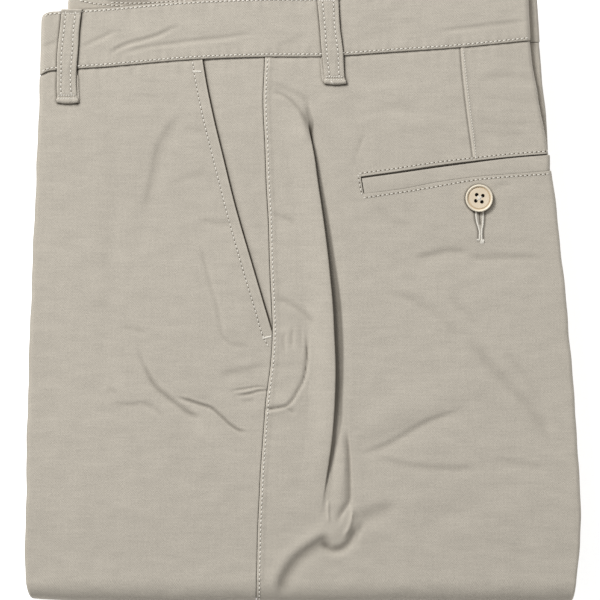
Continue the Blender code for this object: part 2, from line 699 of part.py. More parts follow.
def make_button():
    """A four-hole button with a raised rim, sewn on below the welt."""
    turns = np.linspace(0.0, 2 * math.pi, BUTTON_SIDES, endpoint=False)
    rings = BUTTON_PROFILE[1:-1]
    points = [np.array([[0.0, 0.0, BUTTON_PROFILE[0].share_height * BUTTON_HEIGHT]])]
    for ring in rings:
        r = ring.share_radius * BUTTON_RADIUS
        z = np.full(BUTTON_SIDES, ring.share_height * BUTTON_HEIGHT)
        points.append(np.stack([r * np.cos(turns), r * np.sin(turns), z], axis=-1))
    points.append(np.array([[0.0, 0.0, 0.0]]))
    points = np.concatenate(points)
    last = len(points) - 1
    faces = []
    for i in range(BUTTON_SIDES):
        j = (i + 1) % BUTTON_SIDES
        faces.append([0, 1 + i, 1 + j])
        for ring in range(len(rings) - 1):
            a = 1 + ring * BUTTON_SIDES
            b = a + BUTTON_SIDES
            faces.append([a + i, b + i, b + j, a + j])
        a = 1 + (len(rings) - 1) * BUTTON_SIDES
        faces.append([a + i, last, a + j])
    step = 1.0
    seat = on_top_run(BUTTON_X, BUTTON_UP, -top_loft(BUTTON_UP))
    slope = (waist_lift(BUTTON_UP + step) - waist_lift(BUTTON_UP - step)) / (2 * step)
    tilt = math.atan(slope)
    spin = np.array([
        [1, 0, 0],
        [0, math.cos(tilt), -math.sin(tilt)],
        [0, math.sin(tilt), math.cos(tilt)]])
    lifted = seat + spin @ np.array([0.0, 0.0, GAP + BUTTON_CLEARANCE])
    button = solid_object("button", points @ spin.T + lifted, faces, BUTTON_HORN, 0.45)
    cutter = hole_cutter(spin, lifted)
    cut = button.modifiers.new("holes", "BOOLEAN")
    cut.operation = "DIFFERENCE"
    cut.object = cutter


def hole_cutter(spin, seat):
    """Four round pins that cut the button's holes."""
    sides = 12
    turns = np.linspace(0.0, 2 * math.pi, sides, endpoint=False)
    points, faces = [], []
    for sx in (-1, 1):
        for sy in (-1, 1):
            start = len(points) * 2 * sides
            ring = np.stack([
                sx * HOLE_OFFSET + HOLE_RADIUS * np.cos(turns),
                sy * HOLE_OFFSET + HOLE_RADIUS * np.sin(turns)], axis=-1)
            low = np.column_stack([ring, np.full(sides, -1.0)])
            high = np.column_stack([ring, np.full(sides, BUTTON_HEIGHT + 1.0)])
            points.append(np.concatenate([low, high]))
            for i in range(sides):
                j = (i + 1) % sides
                faces.append([start + i, start + j, start + sides + j, start + sides + i])
            faces.append([start + i for i in reversed(range(sides))])
            faces.append([start + sides + i for i in range(sides)])
    cutter = solid_object(
        "button_hole_cutter", np.concatenate(points) @ spin.T + seat, faces, BUTTON_HORN, 0.45)
    cutter.hide_render = True
    cutter.display_type = "WIRE"
    return cutter


def centre_on_origin():
    """Shift every mesh so that the trousers stand on the origin, centred on it."""
    solids = [piece for piece in bpy.data.objects if not piece.hide_render]
    points = np.concatenate([
        np.array([v.co[:] for v in piece.data.vertices]) for piece in solids])
    low, high = points.min(axis=0), points.max(axis=0)
    shift = np.array([-(low[0] + high[0]) / 2, -(low[1] + high[1]) / 2, -low[2]])
    for piece in bpy.data.objects:
        for vertex in piece.data.vertices:
            vertex.co = [c + s for c, s in zip(vertex.co, shift)]


def main():
    """Clear the scene and make every piece."""
    for piece in list(bpy.data.objects):
        bpy.data.objects.remove(piece, do_unlink=True)
    back_face = make_panels()
    make_pocket_facing()
    make_pocket_welt(back_face)
    make_right_leg()
    make_waistbands()
    make_belt_loops()
    make_button()
    centre_on_origin()


main()
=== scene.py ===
"""Chino trousers, folded flat: the cloth with its creases, its sewing and its button.

The tables are in millimetres and every mesh is in metres. X runs from the front crease to the back
crease. `up` is the distance from the outside of the thigh fold towards the waist. `run` is the
distance along the leg past the start of that fold, so it is negative on the top run. `depth` is
the distance from the left leg's outer face into the stack.
"""
from __future__ import annotations

import logging
import math
from dataclasses import dataclass
from enum import Enum
from functools import cached_property
from typing import Callable, Sequence

import bpy
import numpy as np
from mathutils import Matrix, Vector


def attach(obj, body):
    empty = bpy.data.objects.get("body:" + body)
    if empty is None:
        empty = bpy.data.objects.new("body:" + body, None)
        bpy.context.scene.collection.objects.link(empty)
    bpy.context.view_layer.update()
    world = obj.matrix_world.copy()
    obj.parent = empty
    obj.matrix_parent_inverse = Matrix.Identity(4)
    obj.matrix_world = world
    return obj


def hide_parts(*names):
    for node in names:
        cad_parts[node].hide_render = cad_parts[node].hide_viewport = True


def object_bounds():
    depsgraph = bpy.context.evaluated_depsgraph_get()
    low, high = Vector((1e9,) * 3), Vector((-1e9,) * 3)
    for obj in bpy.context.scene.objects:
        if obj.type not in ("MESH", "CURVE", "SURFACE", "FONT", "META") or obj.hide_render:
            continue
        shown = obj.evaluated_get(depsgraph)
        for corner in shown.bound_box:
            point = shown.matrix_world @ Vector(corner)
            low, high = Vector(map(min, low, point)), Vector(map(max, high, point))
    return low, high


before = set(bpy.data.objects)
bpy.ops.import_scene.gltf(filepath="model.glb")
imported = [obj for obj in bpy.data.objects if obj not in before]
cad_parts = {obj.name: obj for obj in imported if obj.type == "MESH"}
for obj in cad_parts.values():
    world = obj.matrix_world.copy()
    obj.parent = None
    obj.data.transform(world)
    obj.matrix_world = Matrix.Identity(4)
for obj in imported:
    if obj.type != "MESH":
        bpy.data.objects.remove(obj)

Array = np.ndarray
Points = Sequence[tuple[float, float]]
Surface = Callable[[Array, Array, float], Array]
Material = bpy.types.Material

MM = 0.001
CAD_LOW, CAD_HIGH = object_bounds()
UP_ZERO = CAD_LOW.y / MM          # where `up` is 0 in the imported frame
LOG = logging.getLogger("chinos")


class Slot(Enum):
    """The record's material slots."""

    TWILL = "twill"
    THREAD = "thread"
    BUTTON = "button"


# ---------------- lines, tables and small forms


def ease(t: Array | float) -> Array:
    """Go from 0 to 1 with flat ends: t squared times 3 minus 2t."""
    t = np.clip(t, 0.0, 1.0)
    return t * t * (3 - 2 * t)


def bell(t: Array) -> Array:
    """A smooth hump of height 1: e to the minus t squared."""
    return np.exp(-t * t)


def edge_roll(distance: Array, radius: float) -> Array:
    """How far a rounded edge falls off, as a quarter circle.

    Args:
        distance: How far in from the edge each point lies.
        radius: The rounding's radius.

    Returns:
        The drop: the radius less the circle's height, 0 from one radius in.
    """
    inward = np.clip(radius - distance, 0.0, radius)
    return radius - np.sqrt(radius * radius - inward * inward)


def hermite(known: Array, value: Array, at: Array) -> Array:
    """Read a cubic curve whose slopes are the central differences of its points.

    Args:
        known: Where the curve's points lie, in rising order.
        value: The curve's height at each of them.
        at: Where to read it; held at the first and last point outside them.

    Returns:
        The height at each place asked for.
    """
    slope = np.gradient(value, known)
    at = np.clip(at, known[0], known[-1])
    low = np.clip(np.searchsorted(known, at) - 1, 0, len(known) - 2)
    span = known[low + 1] - known[low]
    t = (at - known[low]) / span
    ends = (1 + 2 * t) * (1 - t) ** 2 * value[low] + t * t * (3 - 2 * t) * value[low + 1]
    slopes = t * (1 - t) ** 2 * slope[low] + t * t * (t - 1) * slope[low + 1]
    return ends + span * slopes


def unit(vectors: Array) -> Array:
    """The vectors, each at a length of 1."""
    return vectors / np.maximum(np.linalg.norm(vectors, axis=-1, keepdims=True), 1e-9)


def travelled(points: Array) -> Array:
    """How far along a line each of its points lies. Each row of a grid is a line of its own."""
    steps = np.linalg.norm(np.diff(points, axis=-2), axis=-1)
    return np.concatenate([np.zeros_like(steps[..., :1]), np.cumsum(steps, axis=-1)], axis=-1)


def along_line(line: Array, at: Array, reach: Array) -> Array:
    """The flat places at distances along a line, `reach` being how far each of its points lies."""
    return np.stack([np.interp(at, reach, line[:, i]) for i in (0, 1)], axis=-1)


@dataclass(frozen=True)
class Table:
    """Rows of numbers, the first column rising or falling, read as curves over that column."""

    columns: str
    rows: tuple[tuple[float, ...], ...]

    def _column(self, name: str) -> tuple[Array, Array]:
        """The first column and the named one, in rising order."""
        data = np.array(sorted(self.rows))
        return data[:, 0], data[:, self.columns.split().index(name)]

    def smooth(self, name: str, at: Array | float) -> Array:
        """Read the named column as a cubic curve."""
        known, value = self._column(name)
        return hermite(known, value, np.asarray(at, dtype=float))

    def straight(self, name: str, at: Array | float) -> Array:
        """Read the named column as straight stretches."""
        known, value = self._column(name)
        return np.interp(at, known, value)


def smooth_line(points: Points, step: float = 1.5) -> Array:
    """Round off a line through a few points.

    Args:
        points: The line's corners.
        step: How far apart the returned points are, about.

    Returns:
        Points along a cubic curve through the corners, one row each.
    """
    corners = np.array(points, dtype=float)
    reach = travelled(corners)
    at = np.linspace(0.0, reach[-1], max(3, int(reach[-1] / step) + 1))
    return np.stack([hermite(reach, corners[:, 0], at), hermite(reach, corners[:, 1], at)], axis=-1)


def off_line(line: Array, points: Array) -> tuple[Array, Array, Array]:
    """Find the nearest place on a line to each of many points.

    Args:
        line: The line's own points, one row each.
        points: The points to look from, one row each.

    Returns:
        The way from the nearest place to each point, how far along the line that place lies, and a
        number that is negative where the point lies on the line's right.
    """
    start, leg = line[:-1], np.diff(line, axis=0)
    length = np.linalg.norm(leg, axis=1)
    gap = points[:, None, :] - start
    t = np.clip((gap * leg).sum(axis=-1) / length ** 2, 0.0, 1.0)
    gap -= t[..., None] * leg
    best = np.linalg.norm(gap, axis=-1).argmin(axis=1)
    pick = (np.arange(len(best)), best)
    gap, leg = gap[pick], leg[best]
    along = travelled(line)[best] + t[pick] * length[best]
    return gap, along, leg[:, 0] * gap[:, 1] - leg[:, 1] * gap[:, 0]


@dataclass(frozen=True)
class Crease:
    """A groove in cloth along a line, with a ridge on either side of it.

    Its height is minus `depth` times a bell of the distance over `width`, plus `left` and `right`
    times bells whose middles lie two widths off the line. It fades in over `fade` and out over
    `end_fade`, or `fade` again where that is 0. The wall towards the front and the waist has the
    width; the other's is `far` times as wide. Its shade is painted: darkest at its bottom, the
    height's bell squared, `dark` for each millimetre of depth, and the ridges are painted that much
    lighter.
    """

    points: Points
    depth: float
    width: float
    left: float = 0.0
    right: float = 0.0
    fade: float = 14.0
    far: float = 2.4
    end_fade: float = 0.0
    # painted shade in the groove for each millimetre of depth
    dark: float = 0.24

    def traced(self, x: Array, up: Array) -> tuple[Array, Array]:
        """The crease's height over the cloth, and its painted shade, at each point.

        Points out of its reach stay at 0.
        """
        line = smooth_line(self.points)
        reach = 2.6 * self.width * max(2.0, self.far) + 1.0
        low, high = line.min(axis=0) - reach, line.max(axis=0) + reach
        near = (x > low[0]) & (x < high[0]) & (up > low[1]) & (up < high[1])
        height, shade = np.zeros(x.shape), np.zeros(x.shape)
        if not near.any():
            return height, shade
        gap, along, side = off_line(line, np.stack([x[near], up[near]], axis=-1))
        distance = np.linalg.norm(gap, axis=-1)
        across = np.where(side < 0, -distance, distance)
        left_over = travelled(line)[-1] - along
        strength = ease(along / self.fade) * ease(left_over / (self.end_fade or self.fade))
        towards_waist = 0.53 * gap[:, 1] - 0.85 * gap[:, 0]
        gentle = ease(0.5 - towards_waist / np.maximum(distance, 1e-6))
        wide = self.width * (1 + (self.far - 1) * gentle)
        ridges = self.left * bell((across - 2.0 * self.width) / (1.2 * self.width))
        ridges += self.right * bell((across + 2.0 * self.width) / (1.2 * self.width))
        height[near] = (ridges - self.depth * bell(across / wide)) * strength
        # painted shade in the groove, painted highlight on the ridges
        shade[near] = (self.depth * bell(1.42 * across / wide) - ridges) * self.dark * strength
        return height, shade

    def height(self, x: Array, up: Array) -> Array:
        """The crease's height alone."""
        return self.traced(x, up)[0]


@dataclass(frozen=True)
class Wave:
    """A broad soft hump or hollow, a bell along its length times a bell across it."""

    x: float                      # its middle
    up: float
    angle: float                  # degrees that its length is turned from the cloth's width
    length: float
    width: float
    height_mm: float              # below 0 for a hollow

    def height(self, x: Array, up: Array) -> Array:
        """The wave's height over the cloth at each point."""
        turn = math.radians(self.angle)
        along = (x - self.x) * math.cos(turn) + (up - self.up) * math.sin(turn)
        across = (up - self.up) * math.cos(turn) - (x - self.x) * math.sin(turn)
        return self.height_mm * bell(along / self.length) * bell(across / self.width)


@dataclass(frozen=True)
class Ripple:
    """The cloth's own unevenness: a sum of plane waves in random directions.

    Each wave is an equal share of `amount`, its length drawn between `shortest` and `longest`.
    """

    seed: int
    amount: float
    shortest: float
    longest: float
    count: int = 14

    def height(self, x: Array, up: Array) -> Array:
        """The ripple's height over the cloth at each point."""
        draw = np.random.default_rng(self.seed)
        turn = draw.uniform(0.0, math.tau, self.count)
        length = draw.uniform(self.shortest, self.longest, self.count)
        phase = draw.uniform(0.0, math.tau, self.count)
        total = np.zeros(x.shape)
        for a, size, shift in zip(turn, length, phase):
            total += np.sin((x * math.cos(a) + up * math.sin(a)) * math.tau / size + shift)
        return total * self.amount / math.sqrt(self.count)


@dataclass(frozen=True)
class Relief:
    """Everything that lifts or dents a piece of cloth: creases, waves and ripples, added up."""

    forms: tuple[Crease | Wave | Ripple, ...]

    def height(self, x: Array, up: Array) -> Array:
        """The sum of all the forms' heights."""
        return sum((form.height(x, up) for form in self.forms), np.zeros(x.shape))

    def shade(self, x: Array, up: Array) -> Array:
        """The sum of the creases' painted shades."""
        creases = (form for form in self.forms if isinstance(form, Crease))
        return sum((crease.traced(x, up)[1] for crease in creases), np.zeros(x.shape))


# ---------------- how the trousers are folded


@dataclass(frozen=True)
class FoldedStack:
    """The sizes of the folded stack, and the way from cloth to space."""

    layer: float = 3.5            # one leg, both its plies
    fold_radius: float = 11.5     # of the thigh fold, outside
    knee_radius: float = 7.6      # of the knee fold, outside
    knee_end: float = 352.0       # `up` of the knee fold's outside
    hem_up: float = 32.0          # `up` of the hem
    loft: float = 1.5             # how far the top ply stands off the one below
    loft_fade: float = 50.0       # how far from the thigh fold it takes to do so
    lift: float = 2.0             # how far the top run rises towards the waistband
    lift_from: float = 215.0      # `up` where that starts, and where it ends
    lift_to: float = 300.0
    right_depth: float = 3.8      # depth of the right leg's outer face
    fullness: float = 0.76        # of the thigh fold: the power of its sine and cosine, 1 for round
    slack: float = 3.0            # how far that fold is let out where it is slack
    slack_from: float = -192.0    # x where it would start to be slack
    slack_reach: float = 85.0     # from there to where it is fully so

    @property
    def height(self) -> float:
        """The top run's level at the thigh fold."""
        return 2 * self.fold_radius

    @property
    def thigh_arc(self) -> float:
        """Length of the thigh fold along its outside."""
        return math.pi * self.fold_radius

    @property
    def knee_up(self) -> float:
        """Where the knee fold's centre lies."""
        return self.knee_end - self.knee_radius

    @property
    def knee_run(self) -> float:
        """The run at which the knee fold starts."""
        return self.thigh_arc + self.knee_up - self.fold_radius

    @property
    def middle_run(self) -> float:
        """The run at which the knee fold ends."""
        return self.knee_run + math.pi * self.knee_radius

    @property
    def leg_end(self) -> float:
        """The run at the hem."""
        return self.middle_run + self.knee_up - self.hem_up

    @property
    def panel_top(self) -> float:
        """Level of the top ply under the waistband."""
        return self.height + self.lift + self.loft

    @property
    def right_bottom(self) -> float:
        """Level of the right leg's lowest face under the waistband."""
        return self.height + self.lift - self.right_depth - self.layer

    def waist_lift(self, up: Array) -> Array:
        """How far the top run rises towards the waistband: a flat-ended step."""
        return self.lift * ease((up - self.lift_from) / (self.lift_to - self.lift_from))

    def top_loft(self, up: Array) -> Array:
        """How far the top ply stands off the one below: a step that ends at the thigh fold."""
        return self.loft * ease((up - self.fold_radius) / self.loft_fade)

    def place(self, x: Array, run: Array, depth: Array) -> Array:
        """Put points of a leg where the folds carry them.

        The top run is level, less its depth. Each fold is half round its centre at its radius less
        the depth: the knee fold a circle, the thigh fold fuller, its sine and cosine raised to a
        power, and slack towards the back. The floor run lies at its depth, and the middle run
        hangs its depth below twice the knee fold's radius.

        Args:
            x: Across the leg.
            run: Along the leg.
            depth: Into the stack.

        Returns:
            Points as x, up and z, one more axis than the arguments.
        """
        x, run, depth = np.broadcast_arrays(x, run, depth)
        flat_up = self.fold_radius - run
        thigh = np.clip(run / self.fold_radius, 0.0, math.pi)
        knee = np.clip((run - self.knee_run) / self.knee_radius, 0.0, math.pi)
        reach, turned = self.fold_radius - depth, self.knee_radius - depth
        cases = [run <= 0, run < self.thigh_arc, run < self.knee_run, run < self.middle_run]
        sine, cosine = np.sin(thigh), np.cos(thigh)
        slack = self.slack * ease((x - self.slack_from) / self.slack_reach) * sine ** 2
        up = np.select(cases, [
            flat_up,
            self.fold_radius - reach * sine ** self.fullness - slack,
            self.fold_radius + run - self.thigh_arc,
            self.knee_up + turned * np.sin(knee),
        ], self.knee_up - (run - self.middle_run))
        z = np.select(cases, [
            self.height + self.waist_lift(flat_up) - depth,
            self.fold_radius + reach * np.sign(cosine) * np.abs(cosine) ** self.fullness,
            depth,
            self.knee_radius - turned * np.cos(knee),
        ], 2 * self.knee_radius - depth)
        return np.stack([x, up, z], axis=-1)


STACK = FoldedStack()
CLOTH = 0.9                       # cloth as it is shown, with its turnings
SEAM_GAP = 0.15                   # from a seam's middle to either piece
SEAM_STITCH = 1.75                # from the side seam to the row of stitches beside it
WELT_DIP = 1.3                    # how deep the welt lies in the back panel
BAND_STEP = 0.8                   # how far the waistband's plain level stands over the panels

# The left leg's creases and side seam on the top run, and of the deep fold the line, the strength
# of its form, and how dark the painted shadow behind it is and how far it reaches
TOP_RUN = Table("up front seam back fold strength dark reach", (
    (335, -157.8, -23, 136, -5, 0.00, 0.00, 2),
    (320, -158.2, -23.4, 137.8, -5, 0.00, 0.00, 2),
    (301, -158.7, -24.2, 140.9, -3, 0.00, 0.00, 2),
    (290, -159.1, -24, 142.8, 1.3, 0.06, 0.30, 2.6),
    (284, -159.3, -23.7, 144, 2.8, 0.24, 0.85, 2.4),
    (279, -159.5, -23.4, 145.1, 3.8, 0.50, 0.94, 2),
    (267, -160, -22.9, 147, 6.2, 0.64, 1.00, 2.3),
    (250, -160.6, -22.3, 149.8, 8.6, 0.74, 1.00, 2.9),
    (227, -161.9, -21, 152.9, 12, 0.84, 1.00, 3.6),
    (203, -162.8, -20.3, 155.3, 15, 0.95, 1.00, 4.3),
    (191, -163.2, -19.8, 156.5, 16.2, 1.00, 1.00, 4.9),
    (176, -163.8, -19.1, 158.1, 17.6, 1.00, 1.00, 5.4),
    (160, -164.4, -18.6, 159.5, 18.4, 1.00, 1.00, 5.6),
    (140, -165.1, -19.8, 161.3, 19.2, 1.00, 1.00, 5.2),
    (119, -165.7, -22.5, 162.8, 18.8, 1.00, 0.92, 5),
    (107, -166, -23.5, 163.7, 18.1, 0.95, 0.65, 5.2),
    (95, -166.2, -24.4, 164.4, 17, 0.88, 0.50, 4.2),
    (83, -166.4, -25.3, 165.1, 15.4, 0.70, 0.50, 3.4),
    (74, -166.5, -25.9, 165.6, 14, 0.48, 0.27, 3.4),
    (65, -166.6, -26.3, 166.2, 12.7, 0.27, 0.12, 3),
    (57, -166.8, -26.7, 166.6, 11.5, 0.14, 0.04, 3),
    (47, -166.9, -27.2, 166.9, 9.9, 0.03, 0.00, 3),
    (36, -167.2, -27.6, 166.4, 8.8, 0.00, 0.00, 3),
    (21, -167.4, -27.9, 165, 8.2, 0.00, 0.00, 3),
    (11.5, -167.1, -28.2, 163.9, 8, 0.00, 0.00, 3),
))
LEG_RUN = Table("run front seam back", (
    (0, -167.1, -28.2, 163.9),
    (18, -164.1, -28.5, 162),
    (36, -163, -28.6, 160.8),
    (369, -128, -5, 118),
    (393, -126, -5, 116),
    (705, -108, -6, 97),
))
INNER_EDGES = Table("up front back", (
    (335, -82, 61), (200, -76, 58), (100, -28, 14),
    (60, -13.2, -11.6), (11.5, -12.2, -11.8),
))
INSEAM_OFFSET = 16.2
RIGHT_RUN = Table("up front back", (
    (334, -141.9, 141), (314, -142.5, 142.8), (302, -144, 143.7),
    (287, -147, 145.7), (277, -149.5, 146.4), (256, -154, 147.5),
    (227, -158.5, 150.5), (191, -160, 154), (119, -162.7, 160.2),
    (50, -164.4, 164.8), (11.5, -164.6, 162),
))
RIGHT_INSET = 1.6
LEFT_WAIST = Table("x up", (
    (-158, 313.8), (-154, 315.9), (-145, 316.9), (-119, 318.8), (-67, 323.2), (-24, 324.8),
    (12, 325), (55, 327.8), (93, 330.4), (137, 334.8),
))
RIGHT_WAIST = Table("x up", ((-146.0, 325.4), (0.0, 329.6), (142.0, 333.7)))
SLANT = Table("up x", (
    (326, -60.8), (313, -58.8), (288, -53.7), (264, -47.9),
    (239, -41.8), (196, -29.4), (159.4, -18.6),
))
SLANT_END = 159.4
WELT = Table("x slit base", (
    (35, 253.2, 242.8), (59.4, 256.7, 245.9), (80.7, 259.9, 250),
    (102.3, 262.6, 253), (123.9, 265, 254.8), (148, 267, 256.7),
))
WELT_X = 34.8
WELT_END = Table("up x", ((335.0, 34.8), (253.2, 34.8), (242.8, 36.4), (11.5, 36.4)))
DART = Table("up x", (             # and on down to the middle of the buttonhole
    (331, 93.8), (315.5, 95.1), (295, 97.4), (271.9, 100.5), (258, 102.4), (238, 106.1),
    (212, 106.6), (196, 104.5)))
DART_END = 261.5
BUTTON_X = 105.5
BUTTON_UP = 240.25
BUTTON_RADIUS = 8.3
FRONT_LOOP = Table("up x", (
    (353.6, -139), (334.6, -140.9), (317.2, -142), (306.7, -142.1), (296.9, -141.4)))
SIDE_LOOP = Table("up x", (
    (361, 14.5), (340.6, 16.1), (326.8, 17.5), (314.2, 18.5), (308.3, 19.2)))
LOOP_WIDTH = 12.0
LOOP_FLAT, LOOP_AREA = (0.0122, 0.058), 0.0007     # a loop as sewn, in metres and square metres

# The deep fold across its line: where the face and the inside lie, as shares of its height
FOLD_PROFILE = Table("plain face height inside", (
    (-16, -16, 0.24, 0.24), (-11, -11, 0.50, 0.46), (-7, -7, 0.78, 0.66),
    (-4, -4, 0.96, 0.72), (-2.4, -2, 1.02, 0.55), (-1.3, -0.7, 1.00, 0.25),
    (-0.5, -0.10, 0.92, 0.00), (0, 0.15, 0.68, -0.15), (0.5, 0, 0.40, -0.25),
    (1, -0.35, 0.14, -0.30), (1.6, -0.55, -0.08, -0.33), (2.2, -0.1, -0.24, -0.34),
    (3.2, 1.2, -0.30, -0.34), (5, 3.6, -0.24, -0.26), (7.5, 7, -0.10, -0.10),
    (10, 10, 0, 0),
))
FOLD_HEIGHT = 3.2

BROAD_WAVES = (
    Wave(8, 33, 35, 26, 7, 0.9),
    Wave(63, 99, 22, 34, 8, -0.5),
    Wave(62, 113, 20, 36, 9, 0.6),
    Wave(88, 50, 25, 28, 8, -0.7),
    Wave(-40, 176, 100, 26, 14, 0.7),
    Wave(-68, 118, -36, 42, 9, -0.6),
    Wave(-78, 104, -36, 40, 9, 0.6),
    Wave(105, 205, 2, 45, 9, -0.5),
    Wave(2, 155, 95, 26, 6, -0.6),
    Wave(-12, 117, 10, 14, 6, 0.6),
    Wave(23.5, 80, 88, 26, 4.5, 1.3),
    Wave(55, 293, 2, 15, 3.5, -0.45),
    Wave(50, 312, -8, 16, 4, -0.45),
    Wave(-96, 236, 80, 24, 6, -0.35),
    Wave(112, 150, -52, 50, 7, 0.5),
)

